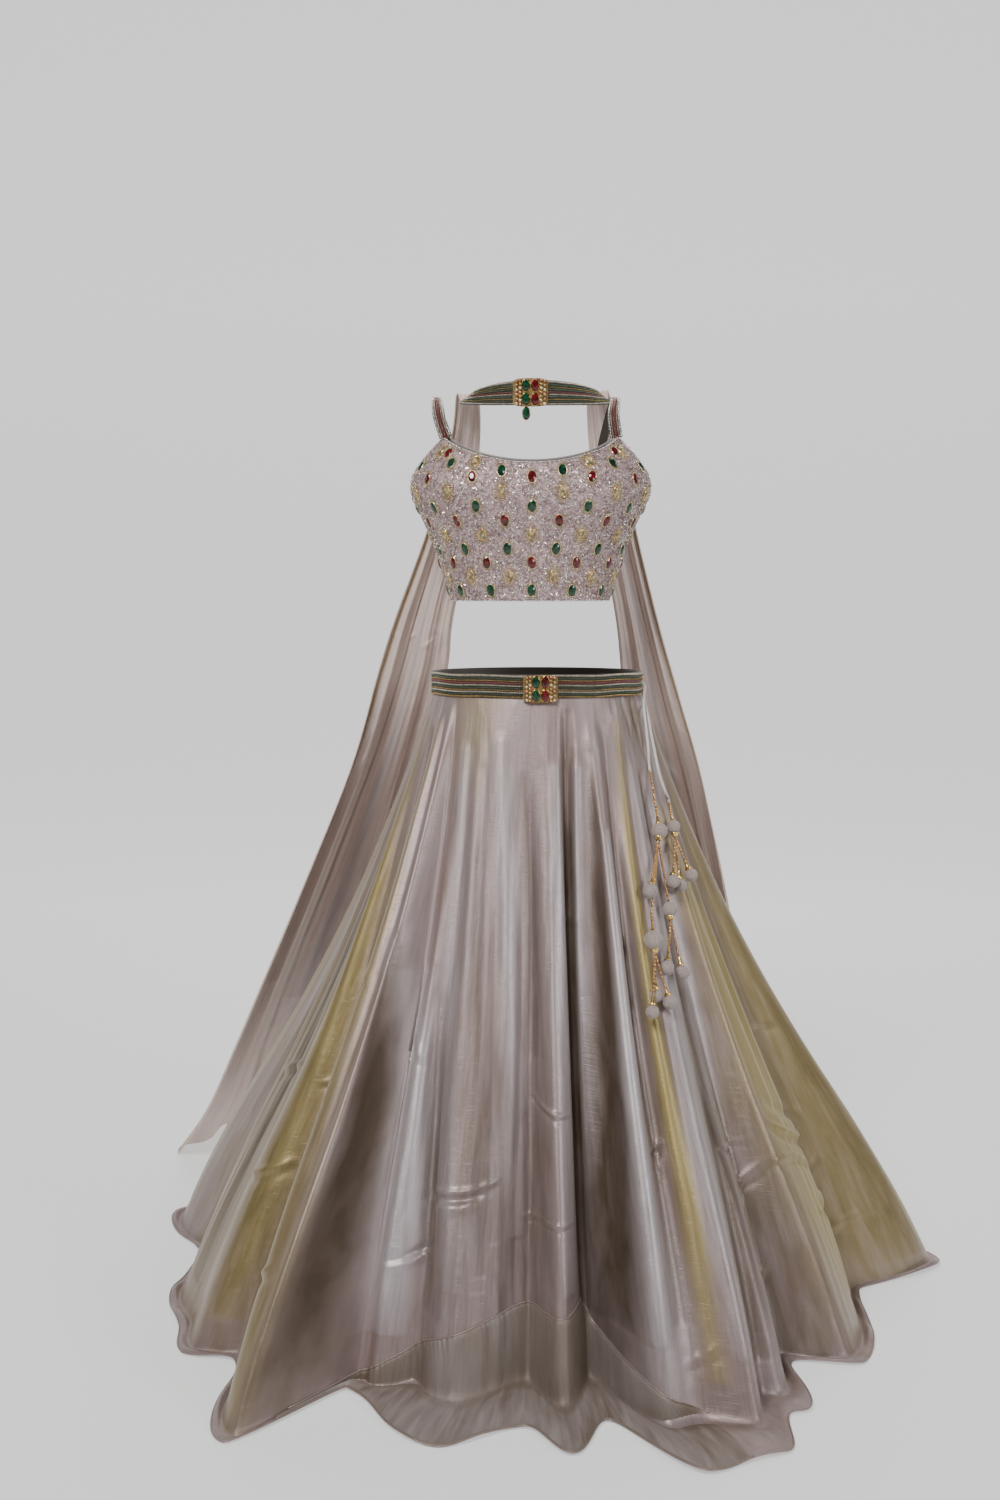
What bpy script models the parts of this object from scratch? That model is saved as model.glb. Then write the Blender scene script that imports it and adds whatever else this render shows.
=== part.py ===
# Lehenga set as worn: flared skirt with a beaded belt, drawstring with tassels, beaded choli, and
# a dupatta whose beaded middle lies on the neck and whose two ends hang behind.
# Metres, +Z up. The origin is the middle of the waist; the front faces -Y.
import math
from collections import namedtuple

import bmesh
import bpy
import numpy as np
from mathutils import Vector
from mathutils.bvhtree import BVHTree

# Driving dimensions
WAIST_HEIGHT = 0.985
FLOOR = -WAIST_HEIGHT
WAIST_HALF_WIDTH = 0.168
WAIST_HALF_DEPTH = 0.115
CLOTH = 0.002
SEAM_GAP = 0.0003

BELT_HEIGHT = 0.037
BELT_WALL = 0.004
BELT_RIB = 0.0012
BELT_RIBS = 3
BELT_OPENING_DEG = 84.0
BELT_OPENING = 0.010

SKIRT_TOP = -BELT_HEIGHT / 2 - SEAM_GAP
SIDE_SEAM_DEG = 95.0
PARTING_DEG = math.degrees(SEAM_GAP / WAIST_HALF_DEPTH) / 2
FRONT_COLUMN_DEG = 2.75
BACK_COLUMN_DEG = 5.7
WAIST_SPREAD_DEG = 16.0

CHOLI_WALL = 0.003
CHOLI_SHIFT = -0.011
CHOLI_HEM = 1.117 - WAIST_HEIGHT
NECKLINE_LOW = 1.329 - WAIST_HEIGHT
NECKLINE_RISE = 0.043
STRAP_DEG = 64.0
CHOLI_SIDE_DEG = 96.0
CHOLI_SIDE_TOP = 1.300 - WAIST_HEIGHT
STRAP_BACK_DEG = 146.0
STRAP_WIDTH = 0.014
STRAP_SHIFT = -0.019
SHOULDER_TOP = 1.437 - WAIST_HEIGHT
PIPING_DIAMETER = 0.004

CHOLI_STONE_LENGTH = 0.021
CHOLI_STONE_WIDTH = 0.014
CHOLI_STONE_RAISE = 0.0042
STONE_COLUMN_DEG = 14.4
STONE_STEP = 0.043
STONE_LOWEST = 1.134 - WAIST_HEIGHT
STONE_ROWS = 6

NECK_BAND_SHIFT = -0.003
NECK_BAND_HEIGHT = 0.039
NECK_BAND_END_HEIGHT = 0.018
NECK_BAND_WALL = 0.003
NECK_BAND_HALF_SPAN = 0.113
NECK_BAND_FRONT = 0.088
NECK_BAND_LEAN_DEG = 70.0
NECK_BAND_RIB = 0.0008
NECK_BAND_ROUNDING = 1.2
NECK_BAND_MIDDLE = 1.437 - WAIST_HEIGHT
NECK_BAND_END = 1.434 - WAIST_HEIGHT

BROOCH_WIDTH = 0.054
BROOCH_HEIGHT = 0.043
BROOCH_CORNER = 0.18
BELT_BROOCH_X = 0.003
BELT_BROOCH_Z = -0.0035
NECK_BROOCH_X = -0.013
BROOCH_WALL = 0.004
STONE_LENGTH = 0.020
STONE_WIDTH = 0.013
STONE_DOME = 0.006
STONE_PARTING = 0.0012

CORD_DIAMETER = 0.004
CORD_STEP = 0.011
TASSEL_CLEARANCE = 0.003

# How the skirt widens: share of the fall from the belt, and share of the way from waist to hem.
Flare = namedtuple("Flare", "fall share")
FLARES = (
    Flare(0.00, 0.000),
    Flare(0.17, 0.126),
    Flare(0.36, 0.290),
    Flare(0.47, 0.402),
    Flare(0.60, 0.550),
    Flare(0.76, 0.748),
    Flare(0.90, 0.905),
    Flare(1.00, 1.000),
)

# Skirt folds at the hem, all round from the back by way of the wearer's right:
# each row is a ridge and the valley after it, as an angle from the front and a reach from the axis.
Fold = namedtuple("Fold", "ridge_deg ridge_m valley_deg valley_m")
FOLDS = (
    Fold(-171, 0.640, -161, 0.555),
    Fold(-151, 0.665, -141, 0.565),
    Fold(-130, 0.655, -120, 0.575),
    Fold(-108.4, 0.684, -92, 0.572),
    Fold(-76, 0.606, -68, 0.602),
    Fold(-60, 0.622, -53, 0.568),
    Fold(-37.2, 0.712, -33.2, 0.508),
    Fold(-15, 0.594, -2.8, 0.530),
    Fold(3.5, 0.598, 9.6, 0.518),
    Fold(18.5, 0.676, 24, 0.668),
    Fold(28.5, 0.672, 35, 0.600),
    Fold(37, 0.608, 47, 0.508),
    Fold(54, 0.590, 78, 0.533),
    Fold(91, 0.684, 102, 0.580),
    Fold(113, 0.655, 124, 0.565),
    Fold(137, 0.672, 149, 0.570),
    Fold(162, 0.655, 175, 0.560),
)

# Narrow folds that run down the fall of the skirt and fade before the hem.
Crest = namedtuple("Crest", "deg half_width_deg lift_m start end")
CRESTS = (
    Crest(-84, 5.0, 0.010, 0.10, 0.95),
    Crest(-62, 5.0, 0.008, 0.05, 0.95),
    Crest(-43, 5.0, 0.016, 0.00, 1.00),
    Crest(-30, 4.5, 0.007, 0.20, 0.95),
    Crest(-21, 4.5, 0.008, 0.05, 0.90),
    Crest(-8, 4.5, 0.008, 0.10, 0.90),
    Crest(2, 4.0, 0.006, 0.25, 0.90),
    Crest(18, 4.5, 0.014, 0.00, 1.00),
    Crest(26, 3.5, 0.006, 0.20, 0.85),
    Crest(34, 5.0, 0.016, 0.00, 1.00),
    Crest(50, 5.5, 0.012, 0.10, 0.90),
    Crest(66, 5.0, 0.010, 0.05, 0.95),
    Crest(80, 5.0, 0.008, 0.10, 0.90),
)

# How far the hem lies out along the floor.
Spread = namedtuple("Spread", "deg length_m")
SPREADS = (
    Spread(-180, 0.040),
    Spread(-125, 0.030),
    Spread(-100, 0.015),
    Spread(-60, 0.020),
    Spread(-36, 0.022),
    Spread(-31, 0.030),
    Spread(-22, 0.110),
    Spread(-5, 0.125),
    Spread(8, 0.115),
    Spread(20, 0.120),
    Spread(32, 0.060),
    Spread(48, 0.025),
    Spread(75, 0.014),
    Spread(105, 0.014),
    Spread(130, 0.030),
    Spread(180, 0.040),
)

# Top edge of the hem band that is turned out at the front. The band ends at the second row and at
# the last but one; past them the skirt has no seam and the rows only space its points.
SeamPoint = namedtuple("SeamPoint", "deg height_m")
BAND_SEAM = (
    SeamPoint(-43, 0.070),
    SeamPoint(-35.5, 0.010),
    SeamPoint(-31.5, 0.020),
    SeamPoint(-28, 0.038),
    SeamPoint(-20, 0.072),
    SeamPoint(-12, 0.096),
    SeamPoint(-4.5, 0.107),
    SeamPoint(3, 0.112),
    SeamPoint(8, 0.117),
    SeamPoint(11, 0.080),
    SeamPoint(15.5, 0.052),
    SeamPoint(19, 0.032),
    SeamPoint(24, 0.012),
    SeamPoint(33, 0.070),
)

# Choli sections: height over the floor, half width, and depth before and behind the axis.
Section = namedtuple("Section", "height half_width front back")
CHOLI_SECTIONS = (
    Section(1.100, 0.119, 0.096, 0.080),
    Section(1.160, 0.138, 0.102, 0.086),
    Section(1.210, 0.154, 0.110, 0.092),
    Section(1.255, 0.174, 0.121, 0.098),
    Section(1.292, 0.190, 0.127, 0.100),
    Section(1.315, 0.187, 0.124, 0.099),
    Section(1.340, 0.172, 0.115, 0.096),
    Section(1.376, 0.147, 0.098, 0.088),
    Section(1.400, 0.138, 0.088, 0.082),
)
CUP_DEG = 38.0
CUP_SPREAD_DEG = 24.0
CUP_HEIGHT = 1.285 - WAIST_HEIGHT
CUP_SPREAD = 0.060
CUP_LIFT = 0.020

# Dupatta ends: the two edges of each at heights over the floor, and how far the cloth bows back.
Drop = namedtuple("Drop", "height outer_x outer_y inner_x inner_y bow")
RIGHT_HAND_FALL = (
    Drop(1.434, -0.122, 0.000, -0.108, 0.000, 0.000),
    Drop(1.448, -0.130, 0.040, -0.096, 0.048, 0.000),
    Drop(1.384, -0.140, 0.086, -0.094, 0.106, 0.004),
    Drop(1.250, -0.176, 0.108, -0.108, 0.128, 0.008),
    Drop(1.085, -0.238, 0.135, -0.141, 0.150, 0.012),
    Drop(0.995, -0.268, 0.150, -0.152, 0.185, 0.016),
    Drop(0.827, -0.319, 0.180, -0.186, 0.275, 0.028),
    Drop(0.594, -0.416, 0.220, -0.232, 0.420, 0.045),
    Drop(0.430, -0.488, 0.275, -0.275, 0.530, 0.055),
    Drop(0.270, -0.560, 0.350, -0.312, 0.650, 0.065),
    Drop(0.118, -0.632, 0.430, -0.345, 0.755, 0.070),
    Drop(0.000, -0.710, 0.525, -0.370, 0.845, 0.075),
)
LEFT_HAND_FALL = (
    Drop(1.434, 0.112, 0.000, 0.101, 0.000, 0.000),
    Drop(1.454, 0.115, 0.040, 0.084, 0.048, 0.000),
    Drop(1.384, 0.136, 0.086, 0.088, 0.106, 0.004),
    Drop(1.250, 0.164, 0.108, 0.106, 0.128, 0.008),
    Drop(1.085, 0.207, 0.130, 0.139, 0.150, 0.012),
    Drop(0.950, 0.248, 0.150, 0.156, 0.195, 0.016),
    Drop(0.802, 0.295, 0.195, 0.180, 0.280, 0.025),
    Drop(0.584, 0.349, 0.265, 0.214, 0.415, 0.040),
    Drop(0.430, 0.383, 0.340, 0.238, 0.515, 0.050),
    Drop(0.270, 0.422, 0.440, 0.260, 0.630, 0.055),
    Drop(0.118, 0.464, 0.535, 0.282, 0.735, 0.060),
    Drop(0.000, 0.500, 0.600, 0.300, 0.810, 0.065),
)
PLEATS = 3
PLEAT_TOP = 0.0005
PLEAT_HEM = 0.016
FALL_COLUMNS = 15

# Tassel heads and the strand ends under each, as seen from the front: across, height over floor
# and radius of the ball.
Ball = namedtuple("Ball", "x height radius layer")
TASSELS = {
    "tassel_upper_left": (
        Ball(0.188, 0.762, 0.0125, 0),
        (Ball(0.1680, 0.680, 0.0115, 0),),
    ),
    "tassel_upper_right": (
        Ball(0.2130, 0.764, 0.0105, 0),
        (Ball(0.2085, 0.6845, 0.0105, 1), Ball(0.2215, 0.676, 0.0105, 0), Ball(0.2400, 0.689, 0.0105, 0)),
    ),
    "tassel_middle": (
        Ball(0.1990, 0.650, 0.0120, 0),
        (Ball(0.1900, 0.572, 0.0112, 0), Ball(0.2160, 0.560, 0.0112, 0)),
    ),
    "tassel_lower": (
        Ball(0.1690, 0.616, 0.0145, 1),
        (Ball(0.1640, 0.5185, 0.0100, 1), Ball(0.1710, 0.536, 0.0100, 0), Ball(0.1925, 0.526, 0.0110, 0)),
    ),
}
# Bead strands that run from one tassel's head to the next.
LINKS = {"tassel_upper_left": ("tassel_middle", "tassel_lower")}
TASSEL_SIDES = 6
STRAND_RADIUS = 0.0016
CONE_RADIUS = 0.0050
CONE_LENGTH = 0.014
CAP_RADIUS = 0.0055
CAP_LENGTH = 0.006
LAYER_STEP = 0.016

# Drawstring routes from the belt's opening, as seen from the front: across and height over floor.
RoutePoint = namedtuple("RoutePoint", "x height")
CORD_ROUTES = {
    "drawstring_left": (
        RoutePoint(0.1700, 0.940),
        RoutePoint(0.1730, 0.910),
        RoutePoint(0.1755, 0.880),
    ),
    "drawstring_right": (
        RoutePoint(0.1770, 0.930),
        RoutePoint(0.1860, 0.880),
        RoutePoint(0.1940, 0.840),
        RoutePoint(0.2040, 0.812),
    ),
}
CORD_TASSEL = {"drawstring_left": "tassel_upper_left", "drawstring_right": "tassel_upper_right"}
# Where round the belt each cord leaves its opening, and how far it clears the belt's face.
CORD_MOUTH_DEGS = {"drawstring_left": BELT_OPENING_DEG - 1.3, "drawstring_right": BELT_OPENING_DEG + 1.3}
CORD_REACH = 0.0065
CORD_FORWARD_DEG = 2.0
# Length of the strand over a tassel's head and how far to the side its top lies.
HeadStrand = namedtuple("HeadStrand", "length aside")
HEAD_STRANDS = {
    "tassel_upper_left": HeadStrand(0.060, -0.010),
    "tassel_upper_right": HeadStrand(0.008, -0.003),
}
SHORT_STRAND = HeadStrand(0.004, 0.0)


# Materials

def material(name, colour, roughness, metallic=0.0):
    found = bpy.data.materials.get(name)
    if found:
        return found
    made = bpy.data.materials.new(name)
    made.use_nodes = True
    shader = made.node_tree.nodes["Principled BSDF"]
    shader.inputs["Base Color"].default_value = (*colour, 1.0)
    shader.inputs["Roughness"].default_value = roughness
    shader.inputs["Metallic"].default_value = metallic
    made.diffuse_color = (*colour, 1.0)
    return made


def shot_cloth():
    return material("shot_cloth", (0.36, 0.30, 0.28), 0.42, 0.25)


def band_cloth():
    return material("band_cloth", (0.24, 0.20, 0.17), 0.55, 0.10)


def beaded_cloth():
    return material("beaded_cloth", (0.55, 0.43, 0.46), 0.45, 0.20)


def beadwork():
    return material("beadwork", (0.30, 0.24, 0.16), 0.40, 0.40)


def gold():
    return material("gold", (0.72, 0.52, 0.22), 0.30, 1.0)


def tassel_cloth():
    return material("tassel_cloth", (0.42, 0.37, 0.35), 0.80)


def stone(colour_name):
    colours = {"green": (0.01, 0.22, 0.12), "red": (0.45, 0.01, 0.05)}
    return material("stone_" + colour_name, colours[colour_name], 0.08)


def cord_cloth():
    return material("cord_cloth", (0.70, 0.68, 0.64), 0.60)


# Mesh helpers

def add_object(name, points, faces, mat, smooth=True):
    mesh = bpy.data.meshes.new(name)
    mesh.from_pydata([tuple(p) for p in points], [], faces)
    work = bmesh.new()
    work.from_mesh(mesh)
    bmesh.ops.recalc_face_normals(work, faces=work.faces)
    work.to_mesh(mesh)
    work.free()
    if smooth:
        mesh.shade_smooth()
        mesh.set_sharp_from_angle(angle=math.radians(50))
    mesh.materials.append(mat)
    made = bpy.data.objects.new(name, mesh)
    bpy.context.scene.collection.objects.link(made)
    return made


def closed_wall(name, outer, inner, mat):
    """One solid between two grids of points, each columns by rows, closed along its four edges."""
    columns, rows = outer.shape[:2]
    points = np.concatenate([outer.reshape(-1, 3), inner.reshape(-1, 3)])
    shift = columns * rows

    def at(column, row, side):
        return side * shift + column * rows + row

    faces = []
    for c in range(columns - 1):
        for r in range(rows - 1):
            for side in (0, 1):
                faces.append((at(c, r, side), at(c + 1, r, side), at(c + 1, r + 1, side)))
                faces.append((at(c, r, side), at(c + 1, r + 1, side), at(c, r + 1, side)))
        for r in (0, rows - 1):
            faces.append((at(c, r, 0), at(c + 1, r, 0), at(c + 1, r, 1), at(c, r, 1)))
    for r in range(rows - 1):
        for c in (0, columns - 1):
            faces.append((at(c, r, 0), at(c, r + 1, 0), at(c, r + 1, 1), at(c, r, 1)))
    return add_object(name, points, faces, mat)


def surface_normals(surface, across, along):
    """Unit normals of a surface function that turns two arrays of parameters into points."""
    step_across = 0.25
    step_along = 0.004
    du = surface(across + step_across, along) - surface(across - step_across, along)
    dv = surface(across, along + step_along) - surface(across, along - step_along)
    normal = np.cross(du, dv)
    return normal / np.linalg.norm(normal, axis=-1, keepdims=True)


def eased(table_x, table_y, x, period=None):
    """Values between a table's rows, level at each row, as cloth rounds a ridge or a valley."""
    knots = np.array(table_x, dtype=float)
    values = np.array(table_y, dtype=float)
    if period:
        knots = np.concatenate([knots - period, knots, knots + period])
        values = np.concatenate([values, values, values])
    x = np.clip(np.asarray(x, dtype=float), knots[0], knots[-1] - 1e-9)
    low = np.clip(np.searchsorted(knots, x, side="right") - 1, 0, len(knots) - 2)
    share = (x - knots[low]) / (knots[low + 1] - knots[low])
    return values[low] + (values[low + 1] - values[low]) * (1 - np.cos(math.pi * share)) / 2


def smooth_through(table_x, table_y, x):
    """Values on a smooth curve through a table's rows."""
    knots = np.array(table_x, dtype=float)
    values = np.array(table_y, dtype=float)
    slopes = np.gradient(values, knots)
    x = np.clip(np.asarray(x, dtype=float), knots[0], knots[-1])
    low = np.clip(np.searchsorted(knots, x, side="right") - 1, 0, len(knots) - 2)
    width = knots[low + 1] - knots[low]
    t = (x - knots[low]) / width
    rise = (2 * t**3 - 3 * t**2 + 1) * values[low] + (3 * t**2 - 2 * t**3) * values[low + 1]
    lean = (t**3 - 2 * t**2 + t) * slopes[low] + (t**3 - t**2) * slopes[low + 1]
    return rise + lean * width


def ring_tube(name, centres, radii, sides, mat, side_axis=(1.0, 0.0, 0.0)):
    """A closed tube along centres whose radius changes, as for a strand that ends in a ball."""
    centres = np.array(centres, dtype=float)
    points = []
    tangents = np.gradient(centres, axis=0)
    for centre, radius, tangent in zip(centres, radii, tangents):
        tangent = tangent / np.linalg.norm(tangent)
        right = np.array(side_axis) - tangent * np.dot(side_axis, tangent)
        right = right / np.linalg.norm(right)
        back = np.cross(tangent, right)
        for k in range(sides):
            turn = 2 * math.pi * (k + 0.5) / sides
            points.append(centre + radius * (math.cos(turn) * right + math.sin(turn) * back))
    faces = []
    for ring in range(len(centres) - 1):
        for k in range(sides):
            a = ring * sides + k
            b = ring * sides + (k + 1) % sides
            faces.append((a, b, b + sides, a + sides))
    faces.append(tuple(range(sides)))
    faces.append(tuple(range((len(centres) - 1) * sides, len(centres) * sides)))
    return add_object(name, points, faces, mat)


def fuse(main, others):
    for other in others:
        other.hide_render = True
        other.display_type = "WIRE"
        union = main.modifiers.new(other.name, "BOOLEAN")
        union.operation = "UNION"
        union.solver = "EXACT"
        union.object = other


# Skirt

def hem_reach(deg):
    angles = [value for fold in FOLDS for value in (fold.ridge_deg, fold.valley_deg)]
    reaches = [value for fold in FOLDS for value in (fold.ridge_m, fold.valley_m)]
    return eased(angles, reaches, deg, period=360)


def floor_spread(deg):
    wrapped = (np.asarray(deg) + 180) % 360 - 180
    return eased([s.deg for s in SPREADS], [s.length_m for s in SPREADS], wrapped)


def crest_lift(deg, fall):
    wrapped = (np.asarray(deg) + 180) % 360 - 180
    lift = np.zeros_like(wrapped + fall)
    for crest in CRESTS:
        across = np.clip(np.abs(wrapped - crest.deg) / crest.half_width_deg, 0, 1)
        along = np.clip((fall - crest.start) / (crest.end - crest.start), 0, 1)
        lift = lift + crest.lift_m * (1 + np.cos(math.pi * across)) / 2 * np.sin(math.pi * along) ** 0.8
    return lift


def skirt_surface(deg, along):
    """Middle of the skirt's cloth. along runs 0 at the belt, 1 where it meets the floor, 2 at the hem."""
    deg = np.asarray(deg, dtype=float)
    along = np.asarray(along, dtype=float)
    turn = np.radians(deg)
    waist_turn = turn + math.radians(WAIST_SPREAD_DEG) * np.sin(2 * turn)
    fall = np.clip(along, 0, 1)
    share = smooth_through([f.fall for f in FLARES], [f.share for f in FLARES], fall)
    spread = floor_spread(deg)
    landing = hem_reach(deg) - spread
    reach = landing + spread * np.clip(along - 1, -1, 2) * (along > 1)
    waist_x = WAIST_HALF_WIDTH * np.sin(waist_turn)
    waist_y = -WAIST_HALF_DEPTH * np.cos(waist_turn)
    lift = crest_lift(deg, fall)
    x = waist_x * (1 - share) + (reach * share + lift) * np.sin(turn)
    y = waist_y * (1 - share) - (reach * share + lift) * np.cos(turn)
    floor_line = FLOOR + CLOTH / 2
    z = SKIRT_TOP + (floor_line - SKIRT_TOP) * along
    z = np.where(along > 1, floor_line, z)
    return np.stack(np.broadcast_arrays(x, y, z), axis=-1)


SEAM_ROW = 8


def seam_along(deg):
    """Where the hem band's seam crosses the skirt, as a share of its fall."""
    wrapped = (np.asarray(deg) + 180) % 360 - 180
    heights = np.interp(wrapped, [p.deg for p in BAND_SEAM], [p.height_m for p in BAND_SEAM])
    return 1 - heights / (SKIRT_TOP - FLOOR)


def skirt_rows(deg):
    """Shares of the fall for the rows of one column: eight down to the seam, then the lower part."""
    to_seam = np.array([0.0, 0.045, 0.13, 0.26, 0.41, 0.56, 0.71, 0.86, 1.0])
    seam = float(seam_along(deg))
    return np.concatenate([to_seam * seam, [(1 + seam) / 2, 1.0, 1.4, 2.0]])


def outward_normals(surface, across, along):
    normal = surface_normals(surface, across, along)
    turn = np.radians(across)
    radial = np.stack([np.sin(turn), -np.cos(turn), np.zeros_like(turn)], axis=-1)
    facing = np.where((normal * radial).sum(axis=-1, keepdims=True) < 0, -1, 1)
    return normal * facing


def wall_from(surface, across, along, half):
    across, along = np.meshgrid(across, along, indexing="ij")
    middle = surface(across, along)
    normal = surface_normals(surface, across, along)
    return middle - normal * half, middle + normal * half


def skirt_layer(columns, lift):
    """Skirt points moved out by lift, and laid flat on the floor at that height past the landing."""
    along = np.array([skirt_rows(deg) for deg in columns])
    across = np.repeat(np.array(columns)[:, None], along.shape[1], axis=1)
    middle = skirt_surface(across, along)
    layer = middle + outward_normals(skirt_surface, across, np.minimum(along, 0.995)) * (lift - CLOTH / 2)
    layer[..., 2] = np.where(along > 0.999, FLOOR + lift, np.maximum(layer[..., 2], FLOOR + lift))
    layer[:, 0, 2] = SKIRT_TOP
    return layer


def front_columns():
    count = int(round(2 * SIDE_SEAM_DEG / FRONT_COLUMN_DEG)) + 1
    return np.linspace(-SIDE_SEAM_DEG + PARTING_DEG, SIDE_SEAM_DEG - PARTING_DEG, count)


def back_columns():
    count = int(round((360 - 2 * SIDE_SEAM_DEG) / BACK_COLUMN_DEG)) + 1
    return np.linspace(SIDE_SEAM_DEG + PARTING_DEG, 360 - SIDE_SEAM_DEG - PARTING_DEG, count)


def make_skirt_panel(name, columns):
    closed_wall(name, skirt_layer(columns, CLOTH), skirt_layer(columns, 0.0), shot_cloth())


def make_hem_band():
    """The band lies on the skirt's own points, moved out, from the seam to the hem."""
    start, end = BAND_SEAM[1].deg, BAND_SEAM[-2].deg
    columns = [deg for deg in front_columns() if start <= deg <= end]
    under = skirt_layer(columns, CLOTH + SEAM_GAP)[:, SEAM_ROW:]
    over = skirt_layer(columns, 2 * CLOTH + SEAM_GAP)[:, SEAM_ROW:]
    closed_wall("hem_band", over, under, band_cloth())


def skirt_front_y(x, height):
    """How far forward the skirt's outside lies at a place across it and a height over the floor."""
    degs = np.linspace(-88, 94, 729)
    fall = (SKIRT_TOP - (height - WAIST_HEIGHT)) / (SKIRT_TOP - FLOOR)
    places = skirt_surface(degs, np.full_like(degs, np.clip(fall, 0.0, 1.0)))
    order = np.abs(places[:, 0] - x)
    near = places[order < 0.004]
    if len(near) == 0:
        near = places[np.argmin(order)][None, :]
    return near[:, 1].min() - CLOTH / 2


# Belt

def belt_ring(turn, reach):
    return np.stack([(WAIST_HALF_WIDTH + reach) * np.sin(turn), -(WAIST_HALF_DEPTH + reach) * np.cos(turn)], axis=-1)


def make_belt():
    columns = 32
    rows = 2 * BELT_RIBS + 1
    half_gap = BELT_OPENING / 2 / WAIST_HALF_DEPTH
    start = math.radians(BELT_OPENING_DEG) + half_gap
    turn = np.linspace(start, start + 2 * math.pi - 2 * half_gap, columns)
    heights = np.linspace(-BELT_HEIGHT / 2, BELT_HEIGHT / 2, rows)
    outer = np.zeros((columns, rows, 3))
    inner = np.zeros((columns, rows, 3))
    for row, height in enumerate(heights):
        rib = BELT_RIB if row % 2 else 0.0
        outer[:, row, :2] = belt_ring(turn, BELT_WALL / 2 + rib)
        inner[:, row, :2] = belt_ring(turn, -BELT_WALL / 2)
        outer[:, row, 2] = height
        inner[:, row, 2] = height
    return closed_wall("belt", outer, inner, beadwork())


def band_bend(x, curve):
    """How far back a band curves at x, from its own middle and radius."""
    middle, radius = curve
    return (x - middle) ** 2 / (2 * radius)


def make_plate(name, middle_x, front_y, middle_z, curve, mat):
    """A plate bent to the band behind it, with its back at front_y."""
    columns = 9
    rows = 5
    across = np.linspace(-BROOCH_WIDTH / 2, BROOCH_WIDTH / 2, columns)
    up = np.linspace(-BROOCH_HEIGHT / 2, BROOCH_HEIGHT / 2, rows)
    outer = np.zeros((columns, rows, 3))
    inner = np.zeros((columns, rows, 3))
    for c, x in enumerate(across):
        bend = band_bend(middle_x + x, curve)
        squeeze = 1 - BROOCH_CORNER * (abs(x) / (BROOCH_WIDTH / 2)) ** 4
        for r, z in enumerate(up):
            inner[c, r] = (middle_x + x, front_y + bend, middle_z + z * squeeze)
            outer[c, r] = (middle_x + x, front_y + bend - BROOCH_WALL, middle_z + z * squeeze)
    return closed_wall(name, outer, inner, mat)


def make_dome(name, back, mat):
    """An oval domed stone that faces forward from the middle of its flat back."""
    sides = 10
    points = []
    for out, scale in ((0.0, 1.0), (STONE_DOME * 0.45, 0.92), (STONE_DOME, 0.50)):
        for k in range(sides):
            turn = 2 * math.pi * (k + 0.5) / sides
            x = back[0] + scale * math.cos(turn) * STONE_WIDTH / 2
            z = back[2] + scale * math.sin(turn) * STONE_LENGTH / 2
            points.append((x, back[1] - out, z))
    faces = [tuple(range(sides)), tuple(range(2 * sides, 3 * sides))]
    for level in range(2):
        for k in range(sides):
            a = level * sides + k
            b = level * sides + (k + 1) % sides
            faces.append((a, b, b + sides, a + sides))
    return add_object(name, points, faces, mat)


def make_brooch(prefix, middle_x, front_y, middle_z, curve):
    """A plate with two green stones and two red stones on it."""
    make_plate(prefix + "_brooch", middle_x, front_y, middle_z, curve, gold())
    number = 1
    for z in (0.5, -0.5):
        for x, colour in ((-0.5, "green"), (0.5, "red")):
            across = middle_x + x * (STONE_WIDTH + STONE_PARTING)
            near = max(abs(across - curve[0]) - STONE_WIDTH / 2, 0.0)
            face_y = front_y + band_bend(curve[0] + near, curve) - BROOCH_WALL - SEAM_GAP
            height = middle_z + z * (STONE_LENGTH + STONE_PARTING)
            make_dome(f"{prefix}_stone_{number}", (across, face_y, height), stone(colour))
            number += 1


# Choli

def choli_section(height):
    table = [section.height - WAIST_HEIGHT for section in CHOLI_SECTIONS]
    half_width = smooth_through(table, [section.half_width for section in CHOLI_SECTIONS], height)
    front = smooth_through(table, [section.front for section in CHOLI_SECTIONS], height)
    back = smooth_through(table, [section.back for section in CHOLI_SECTIONS], height)
    return half_width, front, back


def choli_top(deg):
    """Height of the choli's top edge: a scooped neck, an armhole each side, and a level back."""
    wrapped = np.abs((np.asarray(deg, dtype=float) + 180) % 360 - 180)
    rise = (np.sin(np.radians(wrapped)) / math.sin(math.radians(STRAP_DEG))) ** 2
    scoop = NECKLINE_LOW + NECKLINE_RISE * np.minimum(rise, 1)
    peak = NECKLINE_LOW + NECKLINE_RISE
    armhole = eased([STRAP_DEG, CHOLI_SIDE_DEG, 180], [peak, CHOLI_SIDE_TOP, CHOLI_SIDE_TOP], wrapped)
    return np.where(wrapped < STRAP_DEG, scoop, armhole)


def choli_place(deg, height):
    turn = np.radians(np.asarray(deg, dtype=float))
    half_width, front, back = choli_section(height)
    depth = np.where(np.cos(turn) > 0, front, back)
    folded = np.abs((np.degrees(turn) + 180) % 360 - 180)
    cup = np.exp(-(((folded - CUP_DEG) / CUP_SPREAD_DEG) ** 2) - ((height - CUP_HEIGHT) / CUP_SPREAD) ** 2)
    x = CHOLI_SHIFT + half_width * np.sin(turn)
    y = -depth * np.cos(turn) - CUP_LIFT * cup
    return np.stack(np.broadcast_arrays(x, y, height), axis=-1)


def choli_surface(deg, share):
    height = CHOLI_HEM + share * (choli_top(deg) - CHOLI_HEM)
    return choli_place(deg, height)


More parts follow.
